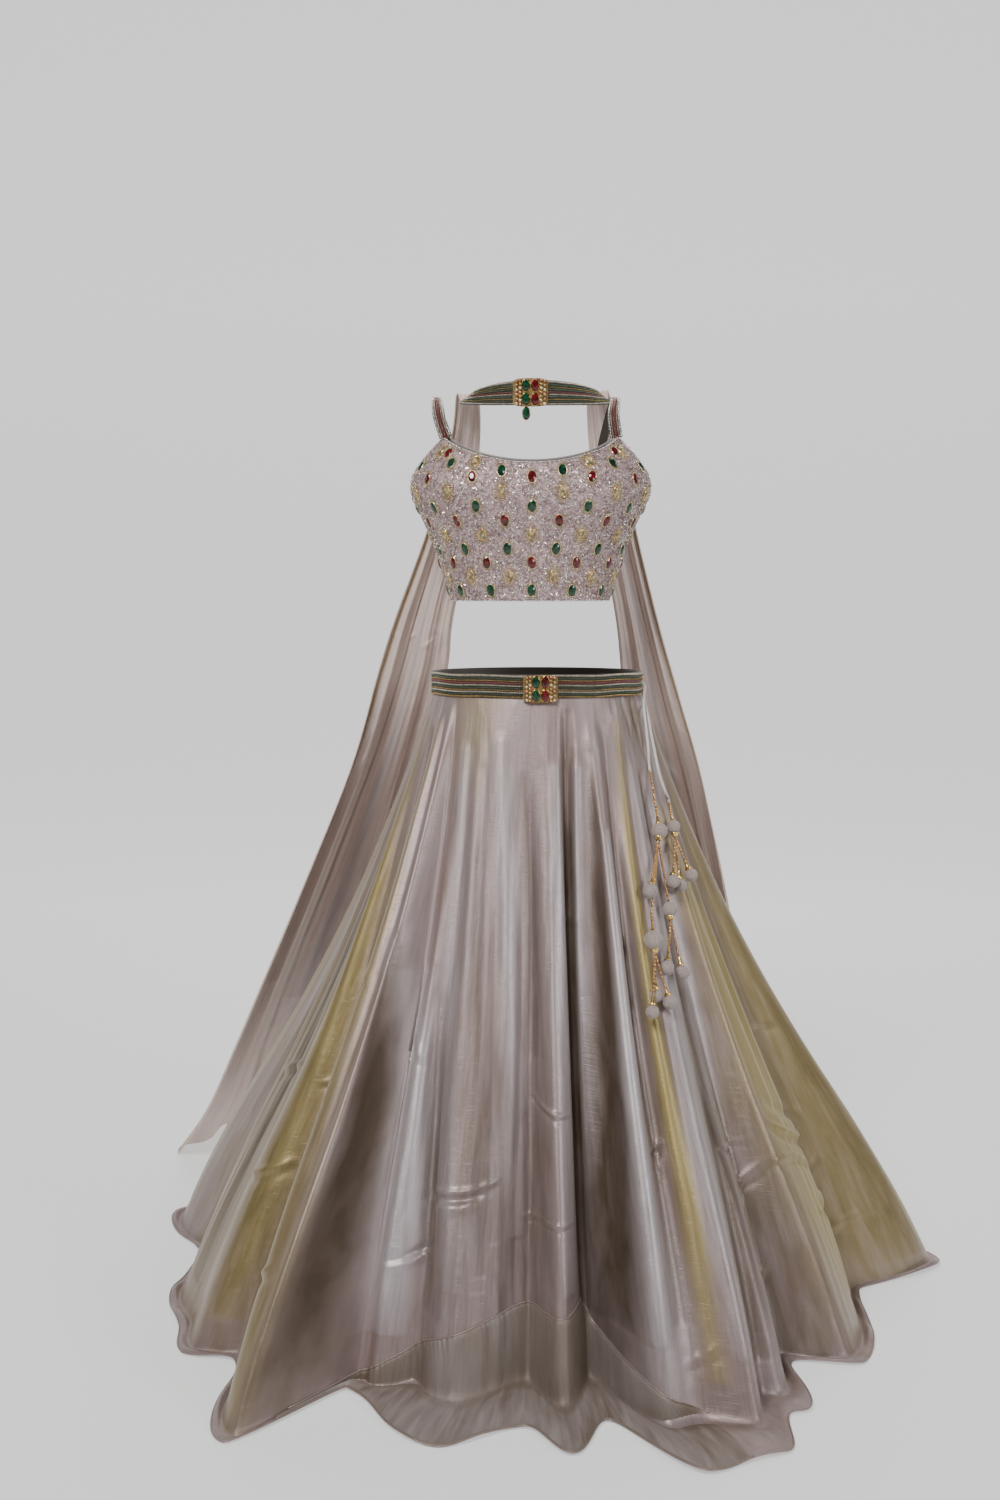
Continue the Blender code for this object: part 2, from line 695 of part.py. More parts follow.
def make_choli_panel(name, start_deg, end_deg, columns, rows):
    parting = math.degrees(SEAM_GAP / CHOLI_SECTIONS[0].half_width) / 2
    across = np.linspace(start_deg + parting, end_deg - parting, columns)
    one, two = wall_from(choli_surface, across, np.linspace(0, 1, rows), CHOLI_WALL / 2)
    bigger = np.linalg.norm(one[..., :2], axis=-1).sum() > np.linalg.norm(two[..., :2], axis=-1).sum()
    outer, inner = (one, two) if bigger else (two, one)
    for grid in (outer, inner):
        grid[:, 0, 2] = CHOLI_HEM
        grid[:, -1, 2] = choli_top(across)
    return closed_wall(name, outer, inner, beaded_cloth())


def choli_stone_places(start_deg, end_deg):
    """Centres of the choli's stones: columns round the body, each second one half a step up."""
    edge = CHOLI_STONE_LENGTH / 2 + 0.004
    side_edge = 5.0
    columns = int(round(360 / STONE_COLUMN_DEG))
    for column in range(-(columns // 2), columns // 2 + 1):
        deg = column * STONE_COLUMN_DEG
        for turned in (deg, deg + 360):
            if not start_deg + side_edge < turned < end_deg - side_edge:
                continue
            for row in range(STONE_ROWS):
                height = STONE_LOWEST + STONE_STEP * (row + 0.5 * (column % 2))
                if CHOLI_HEM + edge < height < float(choli_top(turned)) - edge:
                    yield turned, height


def choli_normal(deg, height):
    du = choli_place(deg + 0.5, height) - choli_place(deg - 0.5, height)
    dv = choli_place(deg, height + 0.001) - choli_place(deg, height - 0.001)
    normal = np.cross(du, dv)
    normal = normal / np.linalg.norm(normal)
    outward = np.array([math.sin(math.radians(deg)), -math.cos(math.radians(deg)), 0.0])
    return normal if np.dot(normal, outward) > 0 else -normal


def add_choli_stones(panel, start_deg, end_deg):
    points = []
    faces = []
    sides = 6
    mesh = panel.data
    tree = BVHTree.FromPolygons([v.co for v in mesh.vertices], [tuple(p.vertices) for p in mesh.polygons])
    for deg, height in choli_stone_places(start_deg, end_deg):
        normal = choli_normal(deg, height)
        outside = choli_place(deg, height) + normal * 5 * CHOLI_WALL
        centre = np.array(tree.ray_cast(Vector(outside), Vector(-normal))[0])
        up = np.array([0, 0, 1.0]) - normal * normal[2]
        up = up / np.linalg.norm(up)
        side = np.cross(up, normal)
        base = len(points)
        for out, scale in ((-CHOLI_WALL * 0.55, 1.0), (CHOLI_STONE_RAISE, 0.62)):
            for k in range(sides):
                turn = 2 * math.pi * (k + 0.5) / sides
                offset = side * math.cos(turn) * CHOLI_STONE_WIDTH / 2
                offset = offset + up * math.sin(turn) * CHOLI_STONE_LENGTH / 2
                points.append(centre + normal * out + offset * scale)
        faces.append(tuple(base + k for k in range(sides)))
        faces.append(tuple(base + sides + k for k in range(sides)))
        for k in range(sides):
            a = base + k
            b = base + (k + 1) % sides
            faces.append((a, b, b + sides, a + sides))
    stones = add_object(panel.name + "_stones", points, faces, beaded_cloth())
    fuse(panel, [stones])


def strap_route(side):
    """Middle line of one strap, from the choli's front peak over the shoulder to its back edge."""
    front = choli_place(STRAP_DEG * side, NECKLINE_LOW + NECKLINE_RISE)
    back = choli_place(STRAP_BACK_DEG * side, CHOLI_SIDE_TOP)
    lift = 2 * SEAM_GAP
    return np.array([
        (front[0], front[1], front[2] + lift),
        (STRAP_SHIFT + side * 0.1370, -0.050, SHOULDER_TOP - 0.032),
        (STRAP_SHIFT + side * 0.1407, -0.028, SHOULDER_TOP - 0.007),
        (STRAP_SHIFT + side * 0.1417, 0.002, SHOULDER_TOP),
        (STRAP_SHIFT + side * 0.1390, 0.036, SHOULDER_TOP - 0.012),
        (STRAP_SHIFT + side * 0.1280, 0.066, SHOULDER_TOP - 0.060),
        (back[0], back[1], back[2] + lift),
    ])


def make_strap(name, side):
    knots = strap_route(side)
    steps = np.linspace(0, len(knots) - 1, 14)
    line = np.stack([smooth_through(range(len(knots)), knots[:, k], steps) for k in range(3)], axis=-1)
    tangent = np.gradient(line, axis=0)
    tangent = tangent / np.linalg.norm(tangent, axis=-1, keepdims=True)
    outer = np.zeros((len(line), 3, 3))
    inner = np.zeros((len(line), 3, 3))
    for index, (centre, along) in enumerate(zip(line, tangent)):
        across = np.array([1.0, 0.0, 0.0]) - along * along[0]
        across = across / np.linalg.norm(across)
        out = np.cross(along, across)
        out = out if out[2] + abs(centre[1]) * out[1] * np.sign(centre[1]) * 20 > 0 else -out
        for k, share in enumerate((-0.5, 0.0, 0.5)):
            place = centre + across * share * STRAP_WIDTH
            outer[index, k] = place + out * CHOLI_WALL / 2
            inner[index, k] = place - out * CHOLI_WALL / 2
    for grid in (outer, inner):
        grid[0, :, 2] = knots[0][2]
        grid[-1, :, 2] = knots[-1][2]
    return closed_wall(name, outer, inner, beadwork())


def make_piping():
    """The narrow roll along the neckline, just over the front panel's edge."""
    degs = np.linspace(-STRAP_DEG + 9, STRAP_DEG - 9, 21)
    height = choli_top(degs) + PIPING_DIAMETER / 2 + SEAM_GAP + 0.0006
    centres = choli_place(degs, height)
    radii = [PIPING_DIAMETER / 2] * len(degs)
    return ring_tube("choli_neck_piping", centres, radii, 6, band_cloth(), (0.0, 0.0, 1.0))


# Dupatta

def neck_band_line(share):
    """Middle of the band on the neck. share runs -1 to 1 from one shoulder to the other."""
    x = NECK_BAND_SHIFT + NECK_BAND_HALF_SPAN * np.sin(np.asarray(share) * math.pi / 2)
    y = -NECK_BAND_FRONT * np.cos(np.asarray(share) * math.pi / 2) ** NECK_BAND_ROUNDING
    z = NECK_BAND_MIDDLE + (NECK_BAND_END - NECK_BAND_MIDDLE) * np.abs(share) ** 2
    return np.stack([x, y, z], axis=-1)


def make_neck_band():
    """It stands up before the neck and leans back flat where it reaches the shoulders."""
    columns = 25
    rows = 5
    share = np.linspace(-1, 1, columns)
    line = neck_band_line(share)
    tangent = np.gradient(line, axis=0)
    tangent = tangent / np.linalg.norm(tangent, axis=-1, keepdims=True)
    outer = np.zeros((columns, rows, 3))
    inner = np.zeros((columns, rows, 3))
    for c in range(columns):
        lean = math.radians(NECK_BAND_LEAN_DEG * abs(share[c]) ** 2)
        flat = np.cross((0, 0, 1.0), tangent[c])
        flat = flat / np.linalg.norm(flat)
        if np.dot(flat, line[c] * (1, 1, 0)) > 0:
            flat = -flat
        up = flat * math.sin(lean) + np.array([0, 0, math.cos(lean)])
        out = np.cross(tangent[c], up)
        out = out / np.linalg.norm(out)
        if np.dot(out, flat) > 0:
            out = -out
        tall = NECK_BAND_HEIGHT + (NECK_BAND_END_HEIGHT - NECK_BAND_HEIGHT) * abs(share[c]) ** 1.5
        for r in range(rows):
            place = line[c] + up * tall * (r / (rows - 1) - 0.5)
            rib = NECK_BAND_RIB if r % 2 else 0.0
            outer[c, r] = place + out * (NECK_BAND_WALL / 2 + rib)
            inner[c, r] = place - out * NECK_BAND_WALL / 2
    for grid in (outer, inner):
        grid[0, :, 1] = 0.0
        grid[-1, :, 1] = 0.0
    return closed_wall("dupatta_neck_band", outer, inner, beadwork())


def fall_surface(table):
    """One hanging end of the dupatta as a function of share across and share down."""
    knots = np.arange(len(table))

    def place(across, down):
        across = np.asarray(across, dtype=float) / 100
        step = np.asarray(down, dtype=float) * (len(table) - 1)
        columns = {
            field: smooth_through(knots, [getattr(row, field) for row in table], step)
            for field in Drop._fields
        }
        x = columns["outer_x"] + (columns["inner_x"] - columns["outer_x"]) * across
        y = columns["outer_y"] + (columns["inner_y"] - columns["outer_y"]) * across
        side = math.copysign(1, table[-1].outer_x)
        chord_x = columns["inner_x"] - columns["outer_x"]
        chord_y = columns["inner_y"] - columns["outer_y"]
        chord = np.hypot(chord_x, chord_y)
        out_x = side * chord_y / chord
        out_y = -side * chord_x / chord
        deep = PLEAT_TOP + (PLEAT_HEM - PLEAT_TOP) * np.clip(down, 0, 1) ** 1.3
        wave = deep * np.sin(2 * math.pi * PLEATS * (across + 0.06 * np.sin(2 * math.pi * across)))
        push = columns["bow"] * np.sin(math.pi * np.clip(across, 0, 1)) + wave
        height = columns["height"] - WAIST_HEIGHT
        return np.stack(np.broadcast_arrays(x + out_x * push, y + out_y * push, height), axis=-1)

    return place


def make_fall(name, table):
    across = np.linspace(0, 100, FALL_COLUMNS + 1)
    rows = np.concatenate([[0.0, 0.5, 1.0, 1.5], np.arange(2, len(table))])
    down = rows / (len(table) - 1)
    one, two = wall_from(fall_surface(table), across, down, CLOTH / 2)
    for grid in (one, two):
        grid[:, 0, 1] = SEAM_GAP
        grid[:, -1, 2] = FLOOR + SEAM_GAP
    return closed_wall(name, one, two, shot_cloth())


# Drawstring and tassels

def hang(x, height, radius, layer=0):
    """A place just before the skirt for something of this radius."""
    forward = min(skirt_front_y(x + shift, height) for shift in (-radius, 0.0, radius))
    forward = min(forward, min(skirt_front_y(x, height - drop) for drop in (0.0, radius)))
    return np.array([x, forward - radius - TASSEL_CLEARANCE - layer * LAYER_STEP, height - WAIST_HEIGHT])


def ball_profile(centre, radius, top):
    """Rings from a strand's top down through a cone to a ball."""
    direction = centre - top
    length = np.linalg.norm(direction)
    direction = direction / length
    reach = length - radius
    stations = [
        (0.0, STRAND_RADIUS),
        ((reach - CONE_LENGTH) * 0.5, STRAND_RADIUS),
        (reach - CONE_LENGTH, STRAND_RADIUS),
        (reach - 0.0012, CONE_RADIUS),
    ]
    for turn_deg in (35, 62, 90, 118, 150):
        turn = math.radians(turn_deg)
        stations.append((length - radius * math.cos(turn), radius * math.sin(turn)))
    stations.append((length + radius, radius * 0.18))
    return [top + direction * s for s, _ in stations], [r for _, r in stations]


def tassel_top(name):
    """A tassel's head, the top of the strand it hangs from, and the way up along that strand."""
    head = TASSELS[name][0]
    centre = hang(head.x, head.height, head.radius, head.layer)
    strand = HEAD_STRANDS.get(name, SHORT_STRAND)
    rise = head.radius + CONE_LENGTH + strand.length
    above = hang(head.x + strand.aside, head.height + rise, STRAND_RADIUS, head.layer)
    up = (above - centre) / np.linalg.norm(above - centre)
    return head, centre, above, up


def make_tassel(name):
    head, centre, above, up = tassel_top(name)
    balls = [(ball, hang(ball.x, ball.height, ball.radius, ball.layer)) for ball in TASSELS[name][1]]
    down = sum((place - centre for _, place in balls), np.zeros(3))
    down = down / np.linalg.norm(down)
    stations = [
        (np.linalg.norm(above - centre), STRAND_RADIUS),
        (head.radius + CONE_LENGTH, STRAND_RADIUS),
        (head.radius, CONE_RADIUS),
    ]
    centres = [centre + up * s for s, _ in stations]
    radii = [r for _, r in stations]
    for turn_deg in (35, 62, 90, 118, 145):
        turn = math.radians(turn_deg)
        direction = up * max(math.cos(turn), 0) + down * max(-math.cos(turn), 0)
        centres.append(centre + direction * head.radius)
        radii.append(head.radius * math.sin(turn))
    cap = centre + down * head.radius
    centres.append(cap + down * CAP_LENGTH)
    radii.append(CAP_RADIUS)
    body = ring_tube(name, centres, radii, TASSEL_SIDES, tassel_cloth())
    root = cap + down * CAP_LENGTH * 0.3
    strands = []
    for number, (ball, place) in enumerate(balls):
        rings, sizes = ball_profile(place, ball.radius, root)
        strands.append(ring_tube(f"{name}_ball_{number + 1}", rings, sizes, TASSEL_SIDES, tassel_cloth()))
    for other in LINKS.get(name, ()):
        _, _, other_top, other_up = tassel_top(other)
        lead = other_top + other_up * SHORT_STRAND.length
        rings = [root, (root + lead) / 2, lead, other_top + other_up * 2 * SEAM_GAP]
        link = ring_tube(f"{name}_to_{other}", rings, [STRAND_RADIUS] * 4, TASSEL_SIDES, tassel_cloth())
        strands.append(link)
    fuse(body, strands)
    return above, up


def make_cord(name, top_of_tassel, up):
    """One end of the drawstring, from the belt's opening to its tassel."""
    mouth = math.radians(CORD_MOUTH_DEGS[name])
    lower = math.radians(CORD_MOUTH_DEGS[name] - CORD_FORWARD_DEG)
    knots = [
        (*belt_ring(mouth, 0.0), 0.0),
        (*belt_ring(mouth, CORD_REACH), -CORD_DIAMETER),
        (*belt_ring(lower, CORD_REACH), -BELT_HEIGHT / 2),
    ]
    knots += [hang(point.x, point.height, CORD_DIAMETER) for point in CORD_ROUTES[name]]
    knots.append(top_of_tassel + up * CORD_STEP)
    knots.append(top_of_tassel + up * 2 * SEAM_GAP)
    knots = np.array(knots)
    lengths = np.concatenate([[0], np.cumsum(np.linalg.norm(np.diff(knots, axis=0), axis=1))])
    steps = np.linspace(0, lengths[-1], int(lengths[-1] / CORD_STEP) + 1)
    line = np.stack([smooth_through(lengths, knots[:, k], steps) for k in range(3)], axis=-1)
    curve = bpy.data.curves.new(name, "CURVE")
    curve.dimensions = "3D"
    curve.bevel_depth = CORD_DIAMETER / 2
    curve.bevel_resolution = 2
    curve.use_fill_caps = True
    spline = curve.splines.new("POLY")
    spline.points.add(len(line) - 1)
    for point, place in zip(spline.points, line):
        point.co = (*place, 1.0)
    curve.materials.append(cord_cloth())
    made = bpy.data.objects.new(name, curve)
    bpy.context.scene.collection.objects.link(made)


def main():
    for old in list(bpy.data.objects):
        bpy.data.objects.remove(old, do_unlink=True)

    make_skirt_panel("skirt_front", front_columns())
    make_skirt_panel("skirt_back", back_columns())
    make_hem_band()
    make_belt()
    belt_face = -(WAIST_HALF_DEPTH + BELT_WALL / 2 + BELT_RIB + SEAM_GAP)
    belt_curve = (0.0, WAIST_HALF_WIDTH**2 / WAIST_HALF_DEPTH)
    make_brooch("belt", BELT_BROOCH_X, belt_face, BELT_BROOCH_Z, belt_curve)

    choli_front = make_choli_panel("choli_front", -CHOLI_SIDE_DEG, CHOLI_SIDE_DEG, 31, 9)
    add_choli_stones(choli_front, -CHOLI_SIDE_DEG, CHOLI_SIDE_DEG)
    choli_back = make_choli_panel("choli_back", CHOLI_SIDE_DEG, 360 - CHOLI_SIDE_DEG, 19, 7)
    add_choli_stones(choli_back, CHOLI_SIDE_DEG, 360 - CHOLI_SIDE_DEG)
    make_strap("choli_strap_right", -1)
    make_strap("choli_strap_left", 1)
    make_piping()

    make_neck_band()
    neck_face = -(NECK_BAND_FRONT + NECK_BAND_WALL / 2 + NECK_BAND_RIB + 2 * SEAM_GAP)
    neck_curve = (NECK_BAND_SHIFT, NECK_BAND_HALF_SPAN**2 / (NECK_BAND_FRONT * NECK_BAND_ROUNDING))
    make_brooch("neck", NECK_BROOCH_X, neck_face, NECK_BAND_MIDDLE, neck_curve)
    drop_low = NECK_BAND_MIDDLE - (BROOCH_HEIGHT + STONE_LENGTH) / 2 - SEAM_GAP
    make_dome("neck_drop", (NECK_BROOCH_X - STONE_WIDTH / 2, neck_face, drop_low), stone("green"))
    make_fall("dupatta_fall_right", RIGHT_HAND_FALL)
    make_fall("dupatta_fall_left", LEFT_HAND_FALL)

    tops = {name: make_tassel(name) for name in TASSELS}
    for name in CORD_ROUTES:
        make_cord(name, *tops[CORD_TASSEL[name]])


main()
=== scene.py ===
# Looks of a lehenga set: shot cloth, beadwork, set stones, tassels, light and camera.
import math
from collections import namedtuple

import bpy
import numpy as np
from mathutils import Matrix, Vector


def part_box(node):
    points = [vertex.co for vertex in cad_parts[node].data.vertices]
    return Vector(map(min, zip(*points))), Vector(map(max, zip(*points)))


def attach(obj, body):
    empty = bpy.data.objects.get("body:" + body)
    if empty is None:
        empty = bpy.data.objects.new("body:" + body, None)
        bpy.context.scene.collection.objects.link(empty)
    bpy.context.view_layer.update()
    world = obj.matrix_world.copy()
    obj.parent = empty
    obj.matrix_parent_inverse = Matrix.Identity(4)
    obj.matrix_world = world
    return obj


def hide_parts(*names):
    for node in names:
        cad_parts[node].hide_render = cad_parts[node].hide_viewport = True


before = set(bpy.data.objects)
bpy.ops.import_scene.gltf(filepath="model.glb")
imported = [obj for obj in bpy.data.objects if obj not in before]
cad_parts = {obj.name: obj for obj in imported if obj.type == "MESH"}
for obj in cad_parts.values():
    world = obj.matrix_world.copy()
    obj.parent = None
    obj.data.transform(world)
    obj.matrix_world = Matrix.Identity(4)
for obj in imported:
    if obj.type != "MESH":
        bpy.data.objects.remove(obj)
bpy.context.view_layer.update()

# Driving dimensions, the same as the solids'
WAIST_HEIGHT = 0.985
FLOOR = -WAIST_HEIGHT
WAIST_HALF_WIDTH = 0.168
WAIST_HALF_DEPTH = 0.115
CLOTH = 0.002
BELT_HEIGHT = 0.037
BELT_WALL = 0.004
BELT_OPENING_DEG = 84.0
BELT_OPENING = 0.010
SKIRT_TOP = -BELT_HEIGHT / 2 - 0.0003
SIDE_SEAM_DEG = 95.0
WAIST_SPREAD_DEG = 16.0
CHOLI_WALL = 0.003
CHOLI_SHIFT = -0.011
CHOLI_HEM = 1.117 - WAIST_HEIGHT
NECKLINE_LOW = 1.329 - WAIST_HEIGHT
NECKLINE_RISE = 0.043
STRAP_DEG = 64.0
CHOLI_SIDE_DEG = 96.0
CHOLI_SIDE_TOP = 1.300 - WAIST_HEIGHT
STRAP_BACK_DEG = 146.0
STRAP_WIDTH = 0.014
STRAP_SHIFT = -0.019
SHOULDER_TOP = 1.437 - WAIST_HEIGHT
STONE_COLUMN_DEG = 14.4
STONE_STEP = 0.043
STONE_LOWEST = 1.134 - WAIST_HEIGHT
STONE_ROWS = 6
NECK_BAND_SHIFT = -0.003
NECK_BAND_HEIGHT = 0.039
NECK_BAND_END_HEIGHT = 0.018
NECK_BAND_WALL = 0.003
NECK_BAND_HALF_SPAN = 0.113
NECK_BAND_FRONT = 0.088
NECK_BAND_LEAN_DEG = 70.0
NECK_BAND_ROUNDING = 1.2
NECK_BAND_MIDDLE = 1.437 - WAIST_HEIGHT
NECK_BAND_END = 1.434 - WAIST_HEIGHT

# Camera that looks at the set as the photograph does
CAMERA_PLACE = (-0.060, -2.586, 0.158)
CAMERA_PITCH_DEG = 5.94
CAMERA_LENS_MM = 38.2

Flare = namedtuple("Flare", "fall share")
FLARES = (
    Flare(0.00, 0.000),
    Flare(0.17, 0.126),
    Flare(0.36, 0.290),
    Flare(0.47, 0.402),
    Flare(0.60, 0.550),
    Flare(0.76, 0.748),
    Flare(0.90, 0.905),
    Flare(1.00, 1.000),
)
Fold = namedtuple("Fold", "ridge_deg ridge_m valley_deg valley_m")
FOLDS = (
    Fold(-171, 0.640, -161, 0.555),
    Fold(-151, 0.665, -141, 0.565),
    Fold(-130, 0.655, -120, 0.575),
    Fold(-108.4, 0.684, -92, 0.572),
    Fold(-76, 0.606, -68, 0.602),
    Fold(-60, 0.622, -53, 0.568),
    Fold(-37.2, 0.712, -33.2, 0.508),
    Fold(-15, 0.594, -2.8, 0.530),
    Fold(3.5, 0.598, 9.6, 0.518),
    Fold(18.5, 0.676, 24, 0.668),
    Fold(28.5, 0.672, 35, 0.600),
    Fold(37, 0.608, 47, 0.508),
    Fold(54, 0.590, 78, 0.533),
    Fold(91, 0.684, 102, 0.580),
    Fold(113, 0.655, 124, 0.565),
    Fold(137, 0.672, 149, 0.570),
    Fold(162, 0.655, 175, 0.560),
)
Crest = namedtuple("Crest", "deg half_width_deg lift_m start end")
CRESTS = (
    Crest(-84, 5.0, 0.010, 0.10, 0.95),
    Crest(-62, 5.0, 0.008, 0.05, 0.95),
    Crest(-43, 5.0, 0.016, 0.00, 1.00),
    Crest(-30, 4.5, 0.007, 0.20, 0.95),
    Crest(-21, 4.5, 0.008, 0.05, 0.90),
    Crest(-8, 4.5, 0.008, 0.10, 0.90),
    Crest(2, 4.0, 0.006, 0.25, 0.90),
    Crest(18, 4.5, 0.014, 0.00, 1.00),
    Crest(26, 3.5, 0.006, 0.20, 0.85),
    Crest(34, 5.0, 0.016, 0.00, 1.00),
    Crest(50, 5.5, 0.012, 0.10, 0.90),
    Crest(66, 5.0, 0.010, 0.05, 0.95),
    Crest(80, 5.0, 0.008, 0.10, 0.90),
)
Spread = namedtuple("Spread", "deg length_m")
SPREADS = (
    Spread(-180, 0.040),
    Spread(-125, 0.030),
    Spread(-100, 0.015),
    Spread(-60, 0.020),
    Spread(-36, 0.022),
    Spread(-31, 0.030),
    Spread(-22, 0.110),
    Spread(-5, 0.125),
    Spread(8, 0.115),
    Spread(20, 0.120),
    Spread(32, 0.060),
    Spread(48, 0.025),
    Spread(75, 0.014),
    Spread(105, 0.014),
    Spread(130, 0.030),
    Spread(180, 0.040),
)
SeamPoint = namedtuple("SeamPoint", "deg height_m")
BAND_SEAM = (
    SeamPoint(-43, 0.070),
    SeamPoint(-35.5, 0.010),
    SeamPoint(-31.5, 0.020),
    SeamPoint(-28, 0.038),
    SeamPoint(-20, 0.072),
    SeamPoint(-12, 0.096),
    SeamPoint(-4.5, 0.107),
    SeamPoint(3, 0.112),
    SeamPoint(8, 0.117),
    SeamPoint(11, 0.080),
    SeamPoint(15.5, 0.052),
    SeamPoint(19, 0.032),
    SeamPoint(24, 0.012),
    SeamPoint(33, 0.070),
)
Section = namedtuple("Section", "height half_width front back")
CHOLI_SECTIONS = (
    Section(1.100, 0.119, 0.096, 0.080),
    Section(1.160, 0.138, 0.102, 0.086),
    Section(1.210, 0.154, 0.110, 0.092),
    Section(1.255, 0.174, 0.121, 0.098),
    Section(1.292, 0.190, 0.127, 0.100),
    Section(1.315, 0.187, 0.124, 0.099),
    Section(1.340, 0.172, 0.115, 0.096),
    Section(1.376, 0.147, 0.098, 0.088),
    Section(1.400, 0.138, 0.088, 0.082),
)
CUP_DEG = 38.0
CUP_SPREAD_DEG = 24.0
CUP_HEIGHT = 1.285 - WAIST_HEIGHT
CUP_SPREAD = 0.060
CUP_LIFT = 0.020
Drop = namedtuple("Drop", "height outer_x outer_y inner_x inner_y bow")
RIGHT_HAND_FALL = (
    Drop(1.434, -0.122, 0.000, -0.108, 0.000, 0.000),
    Drop(1.448, -0.130, 0.040, -0.096, 0.048, 0.000),
    Drop(1.384, -0.140, 0.086, -0.094, 0.106, 0.004),
    Drop(1.250, -0.176, 0.108, -0.108, 0.128, 0.008),
    Drop(1.085, -0.238, 0.135, -0.141, 0.150, 0.012),
    Drop(0.995, -0.268, 0.150, -0.152, 0.185, 0.016),
    Drop(0.827, -0.319, 0.180, -0.186, 0.275, 0.028),
    Drop(0.594, -0.416, 0.220, -0.232, 0.420, 0.045),
    Drop(0.430, -0.488, 0.275, -0.275, 0.530, 0.055),
    Drop(0.270, -0.560, 0.350, -0.312, 0.650, 0.065),
    Drop(0.118, -0.632, 0.430, -0.345, 0.755, 0.070),
    Drop(0.000, -0.710, 0.525, -0.370, 0.845, 0.075),
)
LEFT_HAND_FALL = (
    Drop(1.434, 0.112, 0.000, 0.101, 0.000, 0.000),
    Drop(1.454, 0.115, 0.040, 0.084, 0.048, 0.000),
    Drop(1.384, 0.136, 0.086, 0.088, 0.106, 0.004),
    Drop(1.250, 0.164, 0.108, 0.106, 0.128, 0.008),
    Drop(1.085, 0.207, 0.130, 0.139, 0.150, 0.012),
    Drop(0.950, 0.248, 0.150, 0.156, 0.195, 0.016),
    Drop(0.802, 0.295, 0.195, 0.180, 0.280, 0.025),
    Drop(0.584, 0.349, 0.265, 0.214, 0.415, 0.040),
    Drop(0.430, 0.383, 0.340, 0.238, 0.515, 0.050),
    Drop(0.270, 0.422, 0.440, 0.260, 0.630, 0.055),
    Drop(0.118, 0.464, 0.535, 0.282, 0.735, 0.060),
    Drop(0.000, 0.500, 0.600, 0.300, 0.810, 0.065),
)
PLEATS = 3
PLEAT_TOP = 0.0005
PLEAT_HEM = 0.016

# Long soft folds of the skirt: the path as angle and share of the fall, half width and
# height in metres (below zero is a trough), and how much gold, brown or pale is painted along it.
# Brown is painted shade in troughs and beside ridges, pale is a painted highlight on ridges, and
# gold is partly the shot weave and partly painted sheen.
Soft = namedtuple("Soft", "path half_width lift gold brown pale")
SOFT_FOLDS = (
    Soft(((-66, 0.03), (-61, 0.35), (-58, 0.55), (-57, 0.95)), 0.016, 0.004, 1.0, 0.0, 0.1),
    Soft(((-52, 0.05), (-50, 0.40), (-48, 0.95)), 0.014, -0.004, 0.2, 0.7, 0.0),
    Soft(((-44, 0.03), (-43, 0.40), (-40, 0.98)), 0.012, 0.003, 0.7, 0.1, 0.2),
    Soft(((-37, 0.36), (-35.2, 0.62), (-36.0, 0.99)), 0.009, -0.006, 0.0, 1.0, 0.0),
    Soft(((-33.5, 0.42), (-30.5, 0.62), (-30, 0.93)), 0.024, 0.004, 0.0, 0.0, 1.0),
    Soft(((-27, 0.46), (-24.5, 0.72), (-22, 0.90)), 0.014, -0.003, 0.0, 0.45, 0.0),
    Soft(((-27, 0.08), (-24.5, 0.44), (-17, 0.86)), 0.016, 0.003, 0.0, 0.0, 0.6),
    Soft(((-19, 0.10), (-17, 0.40), (-12, 0.84)), 0.012, -0.002, 0.1, 0.4, 0.0),
    Soft(((-13, 0.06), (-8.2, 0.43), (-5.2, 0.80)), 0.014, 0.003, 0.0, 0.0, 0.6),
    Soft(((-4, 0.12), (-2, 0.35), (-1.5, 0.55)), 0.010, -0.002, 0.0, 0.5, 0.0),
    Soft(((5, 0.10), (5.6, 0.46), (5.2, 0.86)), 0.012, 0.003, 0.0, 0.0, 0.7),
    Soft(((9.5, 0.01), (9.0, 0.40), (9.2, 0.90)), 0.009, -0.006, 0.0, 1.0, 0.0),
    Soft(((12, 0.10), (11.8, 0.50), (11.6, 0.90)), 0.010, 0.005, 0.0, 0.0, 0.8),
    Soft(((17, 0.08), (15.6, 0.40), (13.8, 0.90)), 0.012, -0.005, 0.1, 0.9, 0.0),
    Soft(((20, 0.20), (18.6, 0.45), (17.6, 0.90)), 0.014, 0.004, 0.0, 0.0, 0.9),
    Soft(((23.5, 0.05), (22.5, 0.40), (22.0, 0.88)), 0.009, -0.004, 0.0, 0.6, 0.0),
    Soft(((30, 0.03), (26.8, 0.35), (25.4, 0.95)), 0.010, 0.005, 1.0, 0.0, 0.0),
    Soft(((36, 0.10), (32, 0.45), (29.5, 0.92)), 0.016, 0.003, 0.0, 0.1, 0.6),
    Soft(((42, 0.12), (38, 0.45), (35.5, 0.95)), 0.012, -0.005, 0.2, 0.8, 0.0),
    Soft(((47, 0.10), (46, 0.45), (42, 0.92)), 0.016, 0.004, 0.1, 0.0, 0.7),
    Soft(((53, 0.18), (60, 0.45), (62, 0.66), (66, 0.95)), 0.040, 0.004, 1.0, 0.0, 0.0),
    Soft(((70, 0.10), (72, 0.50), (74, 0.95)), 0.022, -0.004, 0.3, 0.7, 0.0),
    Soft(((84, 0.05), (86, 0.50), (88, 0.97)), 0.026, 0.003, 0.7, 0.3, 0.0),
    Soft(((-76, 0.08), (-74, 0.50), (-72, 0.95)), 0.022, -0.004, 0.2, 0.7, 0.0),
    Soft(((-88, 0.08), (-86, 0.50), (-84, 0.95)), 0.024, 0.003, 0.6, 0.2, 0.1),
)
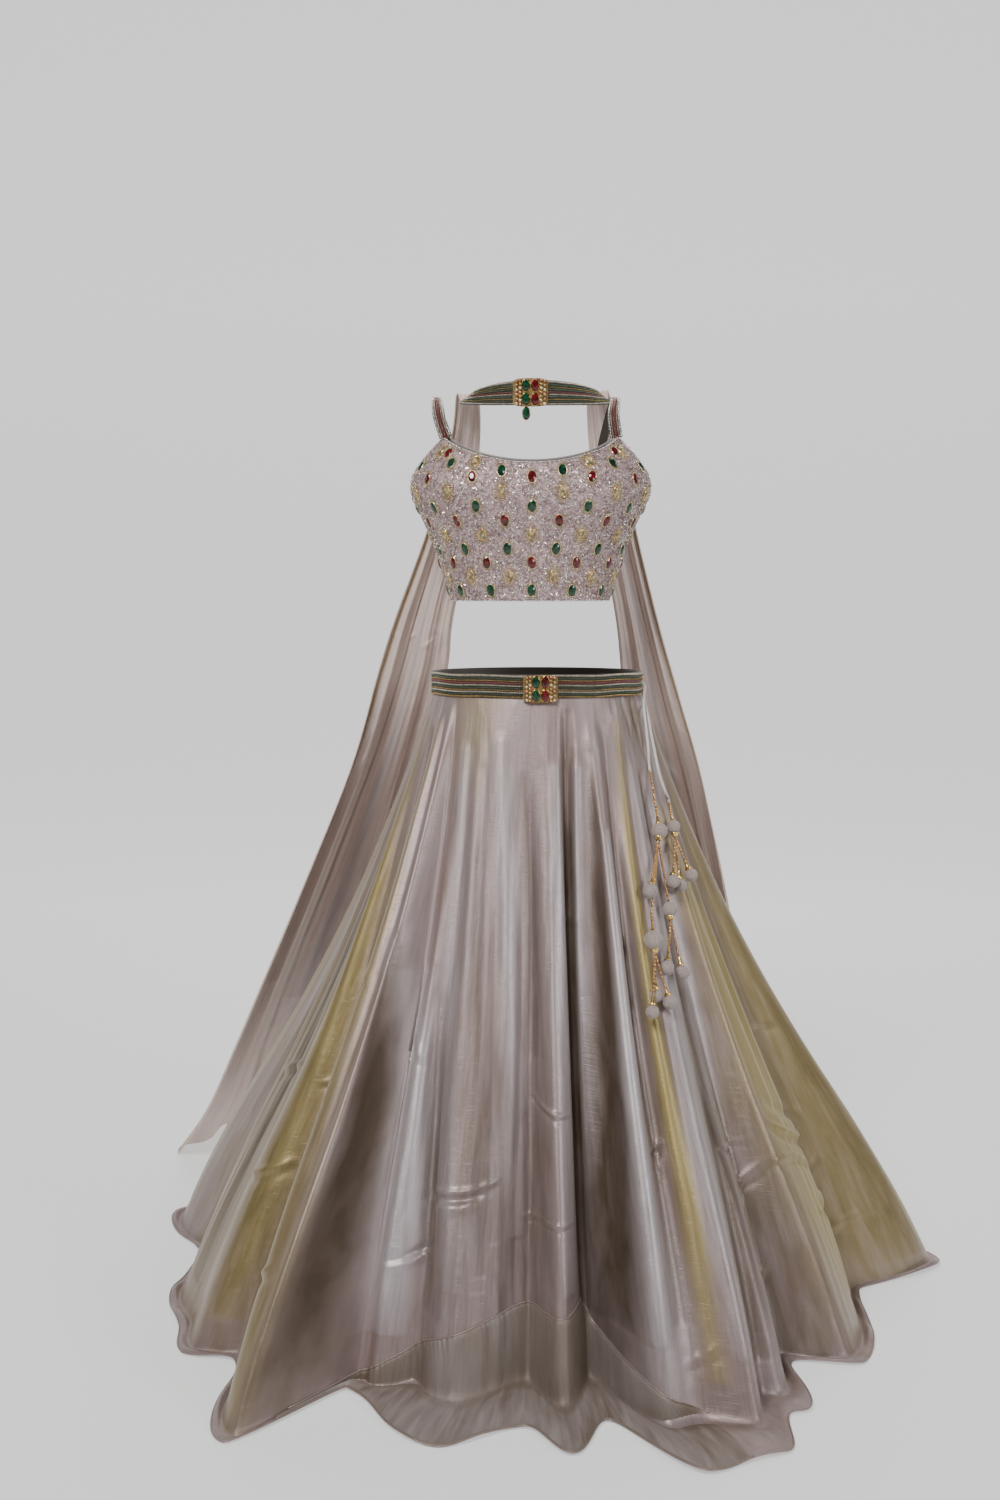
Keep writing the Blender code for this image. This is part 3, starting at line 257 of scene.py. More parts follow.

# Broad painted light over the skirt: middle and half width in degrees, where along the fall it
# is strongest, how far it reaches up and down from there, and how gold, brown or pale it is.
# Brown is painted shade on the flanks and darker towards the hem, pale is a painted highlight, and
# gold is partly the shot weave and partly painted sheen on the side flanks.
Wash = namedtuple("Wash", "deg half_deg along reach gold brown pale")
WASHES = (
    Wash(-84, 20, 0.75, 0.50, 0.55, 0.50, 0.0),
    Wash(-62, 12, 0.55, 0.45, 0.50, 0.25, 0.0),
    Wash(-48, 8, 0.75, 0.30, 0.30, 0.50, 0.0),
    Wash(-39, 4, 0.90, 0.40, 0.45, 0.15, 0.0),
    Wash(-28, 7, 0.72, 0.16, 0.0, 0.0, 0.55),
    Wash(-20, 9, 0.62, 0.14, 0.0, 0.35, 0.0),
    Wash(-24, 12, 0.04, 0.12, 0.50, 0.0, 0.2),
    Wash(-6, 9, 0.72, 0.22, 0.05, 0.45, 0.0),
    Wash(0, 14, 0.30, 0.25, 0.0, 0.10, 0.25),
    Wash(13, 4, 0.78, 0.30, 0.05, 0.65, 0.0),
    Wash(19, 4, 0.85, 0.25, 0.0, 0.05, 0.50),
    Wash(34, 6, 0.60, 0.25, 0.0, 0.30, 0.25),
    Wash(44, 10, 0.03, 0.07, 0.35, 0.75, 0.0),
    Wash(47, 8, 0.85, 0.30, 0.15, 0.55, 0.0),
    Wash(62, 12, 0.60, 0.35, 0.75, 0.05, 0.0),
    Wash(82, 18, 0.80, 0.45, 0.65, 0.30, 0.0),
    Wash(0, 60, 1.00, 0.42, 0.05, 0.22, 0.0),
    Wash(20, 16, 1.45, 0.40, 0.25, 0.0, 0.45),
)

# Short creases where the tissue has been crushed: both ends as angle and share of the fall, half
# width, height and how far the middle bends aside, in metres.
Crease = namedtuple("Crease", "deg_a along_a deg_b along_b half_width lift bend")
CREASES = (
    Crease(-24.0, 0.730, -9.0, 0.712, 0.0042, 0.0040, 0.006),
    Crease(-24.0, 0.742, -12.0, 0.726, 0.0060, -0.0035, 0.004),
    Crease(-5.2, 0.772, 6.8, 0.765, 0.0030, 0.0025, -0.002),
    Crease(-2.0, 0.598, 6.2, 0.622, 0.0032, 0.0040, 0.005),
    Crease(55.8, 0.660, 78.0, 0.730, 0.0055, 0.0060, 0.018),
    Crease(58.0, 0.640, 80.0, 0.700, 0.0090, -0.0050, 0.014),
    Crease(39.0, 0.760, 52.0, 0.715, 0.0050, 0.0050, 0.016),
    Crease(52.0, 0.715, 66.0, 0.760, 0.0050, 0.0045, -0.012),
    Crease(60.0, 0.820, 82.0, 0.745, 0.0060, 0.0060, 0.010),
    Crease(64.0, 0.835, 84.0, 0.770, 0.0080, -0.0050, 0.010),
    Crease(-56.0, 0.420, -40.0, 0.430, 0.0050, 0.0050, 0.006),
    Crease(-56.0, 0.610, -42.0, 0.600, 0.0040, 0.0040, -0.005),
    Crease(5.0, 0.335, 13.0, 0.345, 0.0030, 0.0030, 0.003),
    Crease(20.0, 0.660, 24.0, 0.645, 0.0035, 0.0035, 0.003),
    Crease(24.0, 0.645, 21.5, 0.690, 0.0030, 0.0030, -0.003),
    Crease(37.0, 0.672, 49.0, 0.690, 0.0035, 0.0040, 0.005),
    Crease(-33.0, 0.520, -27.0, 0.560, 0.0040, 0.0030, 0.004),
    Crease(-46.0, 0.840, -40.0, 0.800, 0.0050, 0.0040, 0.006),
    Crease(-31.0, 0.830, -22.0, 0.800, 0.0050, -0.0040, 0.006),
    Crease(-66.0, 0.760, -56.0, 0.720, 0.0060, 0.0045, 0.006),
    Crease(-80.0, 0.640, -68.0, 0.600, 0.0060, 0.0045, -0.008),
    Crease(69.0, 0.520, 84.0, 0.560, 0.0060, 0.0045, 0.008),
    Crease(72.0, 0.905, 86.0, 0.880, 0.0060, 0.0040, 0.006),
    Crease(40.0, 0.920, 50.0, 0.860, 0.0050, 0.0040, 0.006),
    Crease(21.0, 0.930, 27.0, 0.900, 0.0045, 0.0035, 0.004),
)

# Gathers under the belt: angle, length as share of the fall, half width and height.
Gather = namedtuple("Gather", "deg length half_width lift")
GATHERS = (
    Gather(27, 0.040, 0.0030, 0.0030),
    Gather(31, 0.085, 0.0035, 0.0050),
    Gather(36, 0.060, 0.0030, -0.0040),
    Gather(40, 0.100, 0.0035, 0.0055),
    Gather(45, 0.075, 0.0030, -0.0045),
    Gather(49, 0.095, 0.0035, 0.0050),
    Gather(54, 0.070, 0.0030, -0.0040),
    Gather(59, 0.110, 0.0040, 0.0045),
    Gather(66, 0.080, 0.0035, -0.0035),
    Gather(-8, 0.030, 0.0030, 0.0012),
    Gather(-22, 0.040, 0.0035, 0.0012),
    Gather(-38, 0.035, 0.0035, 0.0014),
    Gather(-55, 0.045, 0.0035, 0.0016),
    Gather(-70, 0.050, 0.0040, 0.0018),
)

# Colours, linear
MAUVE = (0.245, 0.180, 0.168)
PINK_MAUVE = (0.700, 0.550, 0.490)
# Gold is partly the shot weave and partly painted sheen, brown is painted shade, and pale is both a random
# paler tint and a painted highlight.
GOLD_WEAVE_AND_SHEEN = (0.285, 0.218, 0.086)
PAINTED_SHADE_BROWN = (0.078, 0.053, 0.035)
PALE_TINT_AND_HIGHLIGHT = (0.430, 0.385, 0.400)
BAND_BROWN = (0.135, 0.098, 0.072)
LILAC_GROUND = (0.460, 0.300, 0.320)
SILVER = (0.700, 0.640, 0.600)
ANTIQUE_SILVER = (0.480, 0.420, 0.340)
GOLD = (0.780, 0.520, 0.190)
ANTIQUE_GOLD = (0.380, 0.250, 0.100)
COPPER = (0.480, 0.240, 0.130)
BEAD_GREEN = (0.012, 0.040, 0.014)
BEAD_RED = (0.150, 0.016, 0.018)
STONE_GREEN = (0.001, 0.045, 0.018)
STONE_RED = (0.120, 0.001, 0.006)
STONE_CHAMPAGNE = (0.380, 0.290, 0.140)
TASSEL_GREY = (0.330, 0.270, 0.250)
CORD_WHITE = (0.640, 0.610, 0.580)
FLOOR_GREY = (0.500, 0.500, 0.500)
FLOOR_GLOW = 0.85


# Materials

def new_material(name, colour, roughness, metallic=0.0):
    made = bpy.data.materials.new(name)
    made.use_nodes = True
    shader = made.node_tree.nodes["Principled BSDF"]
    shader.inputs["Base Color"].default_value = (*colour, 1.0)
    shader.inputs["Roughness"].default_value = roughness
    shader.inputs["Metallic"].default_value = metallic
    return made, made.node_tree.nodes, made.node_tree.links, shader


def add_node(nodes, kind, **values):
    node = nodes.new(kind)
    for key, value in values.items():
        if hasattr(node, key):
            setattr(node, key, value)
        else:
            node.inputs[key].default_value = value
    return node


def scaled_coordinates(nodes, links, scale, uv_name="cloth"):
    uv = add_node(nodes, "ShaderNodeUVMap", uv_map=uv_name)
    mapping = add_node(nodes, "ShaderNodeMapping")
    mapping.inputs["Scale"].default_value = scale
    links.new(uv.outputs["UV"], mapping.inputs["Vector"])
    return mapping.outputs["Vector"]


def noise(nodes, links, scale, size, detail=2.0, distortion=0.0):
    """Noise on the cloth's own metres. scale stretches it, size is features to the metre."""
    made = add_node(nodes, "ShaderNodeTexNoise")
    made.inputs["Scale"].default_value = size
    made.inputs["Detail"].default_value = detail
    made.inputs["Distortion"].default_value = distortion
    links.new(scaled_coordinates(nodes, links, scale), made.inputs["Vector"])
    return made.outputs["Fac"]


def ranged(nodes, links, value, low, high, out_low, out_high):
    made = add_node(nodes, "ShaderNodeMapRange")
    made.inputs["From Min"].default_value = low
    made.inputs["From Max"].default_value = high
    made.inputs["To Min"].default_value = out_low
    made.inputs["To Max"].default_value = out_high
    links.new(value, made.inputs["Value"])
    return made.outputs["Result"]


def mixed(nodes, links, share, first, second, blend="MIX"):
    made = add_node(nodes, "ShaderNodeMix", data_type="RGBA", blend_type=blend)
    for socket, value in ((made.inputs[6], first), (made.inputs[7], second)):
        if isinstance(value, tuple):
            socket.default_value = (*value, 1.0)
        else:
            links.new(value, socket)
    if isinstance(share, float):
        made.inputs[0].default_value = share
    else:
        links.new(share, made.inputs[0])
    return made.outputs[2]


def bumped(nodes, links, height, strength, distance, under=None):
    made = add_node(nodes, "ShaderNodeBump")
    made.inputs["Strength"].default_value = strength
    made.inputs["Distance"].default_value = distance
    links.new(height, made.inputs["Height"])
    if under is not None:
        links.new(under, made.inputs["Normal"])
    return made.outputs["Normal"]


def ragged(nodes, links, tone, streaks, low, high):
    """A painted tone whose edge breaks up into streaks along the grain."""
    made = add_node(nodes, "ShaderNodeMath", operation="ADD")
    links.new(tone, made.inputs[0])
    links.new(streaks, made.inputs[1])
    return ranged(nodes, links, made.outputs["Value"], low, high, 0.0, 1.0)


def shot_cloth(name, ground, roughness, metallic, sheen):
    """Tissue silk shot with gold: long grain, slubs, a fine weave, random paler clouds, and painted light
    from the tone attribute: gold partly the weave and partly painted sheen, a painted highlight and painted
    shade.
    """
    made, nodes, links, shader = new_material(name, ground, roughness, metallic)
    tone = add_node(nodes, "ShaderNodeAttribute", attribute_name="tone")
    split = add_node(nodes, "ShaderNodeSeparateColor")
    links.new(tone.outputs["Color"], split.inputs["Color"])
    grain = noise(nodes, links, (1.0, 0.05, 1.0), 300.0, 4.0)
    streaks = noise(nodes, links, (1.0, 0.12, 1.0), 90.0, 4.0, 0.4)
    cloudy = noise(nodes, links, (1.0, 0.30, 1.0), 12.0, 3.0, 0.5)
    shift = ranged(nodes, links, streaks, 0.3, 0.7, -0.15, 0.15)
    colour = mixed(nodes, links, ranged(nodes, links, cloudy, 0.35, 0.65, 0.0, 0.30), ground, PALE_TINT_AND_HIGHLIGHT)
    # Tone red: gold, partly the shot weave and partly painted sheen where folds turn aside.
    colour = mixed(
        nodes, links, ragged(nodes, links, split.outputs["Red"], shift, 0.16, 0.85), colour, GOLD_WEAVE_AND_SHEEN
    )
    # Tone blue: painted highlight on ridges and faces that catch the light.
    colour = mixed(
        nodes, links, ragged(nodes, links, split.outputs["Blue"], shift, 0.18, 0.90), colour, PALE_TINT_AND_HIGHLIGHT
    )
    # Tone green: painted shade, brown, in troughs, beside ridges and towards the hem.
    colour = mixed(
        nodes, links, ragged(nodes, links, split.outputs["Green"], shift, 0.20, 0.95), colour, PAINTED_SHADE_BROWN
    )
    shade = ranged(nodes, links, grain, 0.25, 0.75, 0.88, 1.10)
    streaked = add_node(nodes, "ShaderNodeVectorMath", operation="SCALE")
    links.new(colour, streaked.inputs[0])
    links.new(shade, streaked.inputs["Scale"])
    links.new(streaked.outputs["Vector"], shader.inputs["Base Color"])
    links.new(
        ranged(nodes, links, grain, 0.2, 0.8, roughness - 0.06, roughness + 0.10), shader.inputs["Roughness"]
    )
    shader.inputs["Sheen Weight"].default_value = sheen
    shader.inputs["Sheen Roughness"].default_value = 0.35
    shader.inputs["Sheen Tint"].default_value = (0.95, 0.86, 0.66, 1.0)
    crush = noise(nodes, links, (1.0, 0.22, 1.0), 42.0, 4.0, 0.5)
    slub = noise(nodes, links, (0.04, 1.0, 1.0), 900.0, 2.0)
    weave = noise(nodes, links, (1.0, 1.0, 1.0), 1500.0, 1.0)
    relief = bumped(nodes, links, crush, 0.34, 0.0022)
    relief = bumped(nodes, links, ranged(nodes, links, slub, 0.55, 0.75, 0.0, 1.0), 0.35, 0.0004, relief)
    relief = bumped(nodes, links, weave, 0.30, 0.0003, relief)
    links.new(relief, shader.inputs["Normal"])
    return made


def embroidered_ground(name, colour):
    """Close rows of curled silver thread over the choli's cloth, with painted shade between the curls."""
    made, nodes, links, shader = new_material(name, colour, 0.42, 0.30)
    curl = noise(nodes, links, (1.0, 1.0, 1.0), 300.0, 3.0, 2.4)
    patch = noise(nodes, links, (1.0, 1.0, 1.0), 120.0, 2.0, 0.6)
    lit = mixed(nodes, links, ranged(nodes, links, curl, 0.48, 0.62, 0.0, 0.75), colour, SILVER)
    # A shaded copy of the ground: painted shade in the gaps between thread curls, also laid over broad darker
    # patches.
    dark = tuple(0.16 * part for part in colour)
    lit = mixed(nodes, links, ranged(nodes, links, curl, 0.46, 0.34, 0.0, 0.9), lit, dark)
    lit = mixed(nodes, links, ranged(nodes, links, patch, 0.52, 0.70, 0.0, 0.55), lit, dark)
    links.new(lit, shader.inputs["Base Color"])
    links.new(ranged(nodes, links, curl, 0.3, 0.7, 0.62, 0.24), shader.inputs["Roughness"])
    relief = bumped(nodes, links, curl, 0.9, 0.0016)
    links.new(relief, shader.inputs["Normal"])
    return made


def bead_material(name, colour, roughness, metallic, coat=0.0):
    """Beads and metal: the tone changes a little from piece to piece."""
    made, nodes, links, shader = new_material(name, colour, roughness, metallic)
    place = add_node(nodes, "ShaderNodeTexCoord")
    speckle = add_node(nodes, "ShaderNodeTexNoise")
    speckle.inputs["Scale"].default_value = 260.0
    speckle.inputs["Detail"].default_value = 1.0
    links.new(place.outputs["Object"], speckle.inputs["Vector"])
    dark = tuple(0.55 * part for part in colour)
    bright = tuple(min(1.0, 1.25 * part) for part in colour)
    shade = ranged(nodes, links, speckle.outputs["Fac"], 0.3, 0.7, 0.0, 1.0)
    links.new(mixed(nodes, links, shade, dark, bright), shader.inputs["Base Color"])
    shader.inputs["Coat Weight"].default_value = coat
    return made


def stone_material(name, colour):
    """A faceted resin stone over foil, with painted glints: bright and dark cells stand in for light the foil
    sends back through the facets.
    """
    made, nodes, links, shader = new_material(name, colour, 0.06, 0.0)
    place = add_node(nodes, "ShaderNodeTexCoord")
    depth = add_node(nodes, "ShaderNodeTexVoronoi")
    depth.inputs["Scale"].default_value = 190.0
    links.new(place.outputs["Object"], depth.inputs["Vector"])
    # Painted reflection: bright and dark cells for the foil's glints.
    dark = tuple(0.30 * part for part in colour)
    bright = tuple(min(1.0, 1.4 * part) for part in colour)
    shade = ranged(nodes, links, depth.outputs["Distance"], 0.1, 0.7, 0.0, 1.0)
    links.new(mixed(nodes, links, shade, bright, dark), shader.inputs["Base Color"])
    shader.inputs["Coat Weight"].default_value = 0.25
    shader.inputs["Coat Roughness"].default_value = 0.03
    return made


def plain_weave(name, colour, roughness, size):
    """Matt woven cloth with a small thread relief."""
    made, nodes, links, shader = new_material(name, colour, roughness)
    place = add_node(nodes, "ShaderNodeTexCoord")
    thread = add_node(nodes, "ShaderNodeTexNoise")
    thread.inputs["Scale"].default_value = size
    thread.inputs["Detail"].default_value = 3.0
    links.new(place.outputs["Object"], thread.inputs["Vector"])
    dark = tuple(0.72 * part for part in colour)
    shade = ranged(nodes, links, thread.outputs["Fac"], 0.35, 0.65, 0.0, 1.0)
    links.new(mixed(nodes, links, shade, dark, colour), shader.inputs["Base Color"])
    links.new(bumped(nodes, links, thread.outputs["Fac"], 0.5, 0.0006), shader.inputs["Normal"])
    shader.inputs["Sheen Weight"].default_value = 0.25
    return made


SKIRT_CLOTH = shot_cloth("shot_cloth", MAUVE, 0.40, 0.45, 0.25)
FALL_CLOTH = shot_cloth("shot_cloth_fall", PINK_MAUVE, 0.45, 0.20, 0.25)
BAND_CLOTH = shot_cloth("hem_band_cloth", BAND_BROWN, 0.52, 0.25, 0.20)
CHOLI_GROUND = embroidered_ground("embroidered_ground", LILAC_GROUND)
LINING = plain_weave("choli_lining", (0.42, 0.36, 0.33), 0.7, 900.0)
BEADS = {
    "silver": bead_material("bead_silver", SILVER, 0.22, 0.85),
    "gold": bead_material("bead_gold", GOLD, 0.24, 0.95),
    "old_silver": bead_material("bead_old_silver", ANTIQUE_SILVER, 0.30, 0.75),
    "old_gold": bead_material("bead_old_gold", ANTIQUE_GOLD, 0.30, 0.85),
    "copper": bead_material("bead_copper", COPPER, 0.26, 0.85),
    "green": bead_material("bead_green", BEAD_GREEN, 0.20, 0.0, 0.8),
    "red": bead_material("bead_red", BEAD_RED, 0.22, 0.0, 0.8),
    "lilac": bead_material("bead_lilac", LILAC_GROUND, 0.26, 0.55),
    "pearl": bead_material("bead_pearl", (0.80, 0.72, 0.60), 0.28, 0.15, 0.6),
    "champagne": bead_material("bead_champagne", (0.560, 0.440, 0.260), 0.22, 0.60),
}
STONES = {
    "green": stone_material("stone_green", STONE_GREEN),
    "red": stone_material("stone_red", STONE_RED),
    "champagne": stone_material("stone_champagne", STONE_CHAMPAGNE),
}
BELT_CLOTH = plain_weave("belt_cloth", (0.034, 0.027, 0.016), 0.6, 700.0)
PIPING_CLOTH = plain_weave("piping_cloth", (0.20, 0.18, 0.17), 0.5, 900.0)
TASSEL_CLOTH = plain_weave("tassel_cloth", TASSEL_GREY, 0.85, 420.0)
CORD_CLOTH = plain_weave("cord_cloth", CORD_WHITE, 0.7, 900.0)


# Curves through tables, the same as the solids'

def eased(table_x, table_y, x, period=None):
    knots = np.array(table_x, dtype=float)
    values = np.array(table_y, dtype=float)
    if period:
        knots = np.concatenate([knots - period, knots, knots + period])
        values = np.concatenate([values, values, values])
    x = np.clip(np.asarray(x, dtype=float), knots[0], knots[-1] - 1e-9)
    low = np.clip(np.searchsorted(knots, x, side="right") - 1, 0, len(knots) - 2)
    share = (x - knots[low]) / (knots[low + 1] - knots[low])
    return values[low] + (values[low + 1] - values[low]) * (1 - np.cos(math.pi * share)) / 2


def smooth_through(table_x, table_y, x):
    knots = np.array(table_x, dtype=float)
    values = np.array(table_y, dtype=float)
    slopes = np.gradient(values, knots)
    x = np.clip(np.asarray(x, dtype=float), knots[0], knots[-1])
    low = np.clip(np.searchsorted(knots, x, side="right") - 1, 0, len(knots) - 2)
    width = knots[low + 1] - knots[low]
    t = (x - knots[low]) / width
    rise = (2 * t**3 - 3 * t**2 + 1) * values[low] + (3 * t**2 - 2 * t**3) * values[low + 1]
    lean = (t**3 - 2 * t**2 + t) * slopes[low] + (t**3 - t**2) * slopes[low + 1]
    return rise + lean * width


def wrapped_deg(deg):
    return (np.asarray(deg, dtype=float) + 180) % 360 - 180


# Meshes

def mesh_object(name, points, faces, materials, material_index=None, smooth=True):
    """An object from an array of points and a list of face arrays, each of one face size."""
    mesh = bpy.data.meshes.new(name)
    mesh.vertices.add(len(points))
    mesh.vertices.foreach_set("co", np.asarray(points, dtype=np.float32).ravel())
    sizes = np.concatenate([np.full(len(part), part.shape[1]) for part in faces])
    corners = np.concatenate([part.ravel() for part in faces]).astype(np.int32)
    mesh.loops.add(len(corners))
    mesh.loops.foreach_set("vertex_index", corners)
    mesh.polygons.add(len(sizes))
    starts = np.concatenate([[0], np.cumsum(sizes)[:-1]]).astype(np.int32)
    mesh.polygons.foreach_set("loop_start", starts)
    if material_index is not None:
        mesh.polygons.foreach_set("material_index", np.asarray(material_index, dtype=np.int32))
    mesh.update(calc_edges=True)
    if smooth:
        mesh.shade_smooth()
    else:
        mesh.shade_flat()
    for mat in materials:
        mesh.materials.append(mat)
    made = bpy.data.objects.new(name, mesh)
    bpy.context.scene.collection.objects.link(made)
    return made


def grid_faces(columns, rows, start=0):
    c, r = np.meshgrid(np.arange(columns - 1), np.arange(rows - 1), indexing="ij")
    a = (start + c * rows + r).ravel()
    return np.stack([a, a + rows, a + rows + 1, a + 1], axis=-1)


def add_cloth_data(obj, uv, tone):
    """The cloth's own metres as a UV map, and its painted tones as a colour attribute."""
    mesh = obj.data
    corner = np.zeros(len(mesh.loops), dtype=np.int32)
    mesh.loops.foreach_get("vertex_index", corner)
    layer = mesh.uv_layers.new(name="cloth")
    layer.data.foreach_set("uv", uv.reshape(-1, 2)[corner].astype(np.float32).ravel())
    if tone is not None:
        colours = np.ones((len(mesh.vertices), 4), dtype=np.float32)
        colours[:, :3] = tone.reshape(-1, 3)
        attribute = mesh.color_attributes.new("tone", "FLOAT_COLOR", "POINT")
        attribute.data.foreach_set("color", colours.ravel())


def sheet_object(name, points, uv, tone, mat):
    columns, rows = points.shape[:2]
    made = mesh_object(name, points.reshape(-1, 3), [grid_faces(columns, rows)], [mat])
    add_cloth_data(made, uv, tone)
    return made


def thicken(obj, wall, offset=0.0):
    """A closed wall from a sheet."""
    solid = obj.modifiers.new("wall", "SOLIDIFY")
    solid.thickness = wall
    solid.offset = offset
    return obj


def unit(vectors):
    return vectors / np.maximum(np.linalg.norm(vectors, axis=-1, keepdims=True), 1e-12)


def sphere_template(sides=6, rings=3):
    """Points and faces of a small ball of radius one, its poles on the third axis."""
    points = [(0, 0, -1)]
    for ring in range(rings):
        turn = -math.pi / 2 + math.pi * (ring + 1) / (rings + 1)
        for k in range(sides):
            side = 2 * math.pi * (k + 0.5 * (ring % 2)) / sides
            points.append((math.cos(turn) * math.cos(side), math.cos(turn) * math.sin(side), math.sin(turn)))
    points.append((0, 0, 1))
    last = len(points) - 1
    triangles = []
    quads = []
    for k in range(sides):
        after = (k + 1) % sides
        triangles.append((0, 1 + after, 1 + k))
        triangles.append((last, last - sides + k, last - sides + after))
        for ring in range(rings - 1):
            a = 1 + ring * sides
            quads.append((a + k, a + after, a + sides + after, a + sides + k))
    return np.array(points, dtype=float), [np.array(triangles), np.array(quads)]


def disc_template(sides=6, cup=0.18):
    """A sequin: a shallow cup of radius one."""
    points = [(0, 0, 0.0)]
    for k in range(sides):
        side = 2 * math.pi * k / sides
        points.append((math.cos(side), math.sin(side), cup))
    faces = [(0, 1 + k, 1 + (k + 1) % sides) for k in range(sides)]
    return np.array(points, dtype=float), [np.array(faces)]


def bugle_template(sides=4):
    """A short glass tube along the second axis, half a unit each way."""
    points = []
    for y in (-1.0, 1.0):
        for k in range(sides):
            side = 2 * math.pi * (k + 0.5) / sides
            points.append((math.cos(side), y, math.sin(side)))
    quads = [(k, (k + 1) % sides, sides + (k + 1) % sides, sides + k) for k in range(sides)]
    return np.array(points, dtype=float), [np.array(quads)]


def stone_template(sides=12):
    """An oval stone with a table, a row of crown facets and a girdle, flat behind."""
    points = []
    for radius, height in ((1.0, 0.0), (1.0, 0.30), (0.80, 0.72), (0.46, 1.0)):
        for k in range(sides):
            side = 2 * math.pi * (k + 0.5 * (radius < 0.9)) / sides
            points.append((radius * math.cos(side), radius * math.sin(side), height))
    points.append((0, 0, 1.0))
    top = len(points) - 1
    quads = []
    for level in range(3):
        a = level * sides
        for k in range(sides):
            after = (k + 1) % sides
            quads.append((a + k, a + after, a + sides + after, a + sides + k))
    triangles = [(top, 3 * sides + k, 3 * sides + (k + 1) % sides) for k in range(sides)]
    return np.array(points, dtype=float), [np.array(quads), np.array(triangles)]


def rim_template(sides=16):
    """The raised rim that a stone sits in: an oval ring of radius one."""
    points = []
    for radius, height in ((1.16, -0.1), (1.14, 0.42), (1.0, 0.50), (0.94, 0.20)):
        for k in range(sides):
            side = 2 * math.pi * k / sides
            points.append((radius * math.cos(side), radius * math.sin(side), height))
    quads = []
    for level in range(3):
        a = level * sides
        for k in range(sides):
            after = (k + 1) % sides
            quads.append((a + k, a + after, a + sides + after, a + sides + k))
    return np.array(points, dtype=float), [np.array(quads)]


def joined_copies(name, template, centres, sides, ups, outs, sizes, materials, which, smooth=True):
    """One mesh of many copies of a template, each with its own place, axes, size and material."""
    shape, faces = template
    centres = np.asarray(centres, dtype=float)
    sizes = np.broadcast_to(np.asarray(sizes, dtype=float), (len(centres), 3))
    spread = shape[None, :, :] * sizes[:, None, :]
    axes = np.stack([sides, ups, outs], axis=1)
    points = centres[:, None, :] + np.einsum("nvk,nkd->nvd", spread, axes)
    shift = np.arange(len(centres)) * len(shape)
    all_faces = [(shift[:, None, None] + part[None]).reshape(-1, part.shape[1]) for part in faces]
    index = np.concatenate([np.repeat(np.asarray(which), len(part)) for part in faces])
    return mesh_object(name, points.reshape(-1, 3), all_faces, materials, index, smooth)


def tube_points(line, radius, sides, up=(0.0, 0.0, 1.0), flat=1.0):
    """Rings of points round a line. flat below one makes a tape."""
    line = np.asarray(line, dtype=float)
    radius = np.broadcast_to(np.asarray(radius, dtype=float), (len(line),))
    tangent = unit(np.gradient(line, axis=0))
    side = unit(np.cross(tangent, np.broadcast_to(np.asarray(up, dtype=float), tangent.shape)))
    over = np.cross(side, tangent)
    turn = 2 * math.pi * np.arange(sides) / sides
    ring = (
        side[:, None, :] * np.cos(turn)[None, :, None]
        + over[:, None, :] * np.sin(turn)[None, :, None] * flat
    )
    return line[:, None, :] + ring * radius[:, None, None]


def tube_faces(rings, sides, start=0):
    r, k = np.meshgrid(np.arange(rings - 1), np.arange(sides), indexing="ij")
    a = (start + r * sides + k).ravel()
    b = (start + r * sides + (k + 1) % sides).ravel()
    return np.stack([a, b, b + sides, a + sides], axis=-1)


def tube_object(name, line, radius, sides, mat, up=(0.0, 0.0, 1.0), flat=1.0):
    points = tube_points(line, radius, sides, up, flat)
    faces = [tube_faces(len(line), sides)]
    caps = [np.arange(sides)[None, ::-1], (np.arange(sides) + (len(line) - 1) * sides)[None, :]]
    return mesh_object(name, points.reshape(-1, 3), faces + caps, [mat])


def even_steps(line, step):
    """Points at even steps along a line, and the line's directions there."""
    line = np.asarray(line, dtype=float)
    lengths = np.concatenate([[0], np.cumsum(np.linalg.norm(np.diff(line, axis=0), axis=1))])
    count = max(2, int(lengths[-1] / step) + 1)
    at = np.linspace(0, lengths[-1], count)
    places = np.stack([np.interp(at, lengths, line[:, k]) for k in range(3)], axis=-1)
    return places, unit(np.gradient(places, axis=0)), at / lengths[-1]


# Skirt

def hem_reach(deg):
    angles = [value for fold in FOLDS for value in (fold.ridge_deg, fold.valley_deg)]
    reaches = [value for fold in FOLDS for value in (fold.ridge_m, fold.valley_m)]
    return eased(angles, reaches, deg, period=360)


def floor_spread(deg):
    return eased([s.deg for s in SPREADS], [s.length_m for s in SPREADS], wrapped_deg(deg))


def crest_lift(deg, fall):
    wrapped = wrapped_deg(deg)
    lift = np.zeros_like(wrapped + fall)
    for crest in CRESTS:
        across = np.clip(np.abs(wrapped - crest.deg) / crest.half_width_deg, 0, 1)
        along = np.clip((fall - crest.start) / (crest.end - crest.start), 0, 1)
        lift = lift + crest.lift_m * (1 + np.cos(math.pi * across)) / 2 * np.sin(math.pi * along) ** 0.8
    return lift


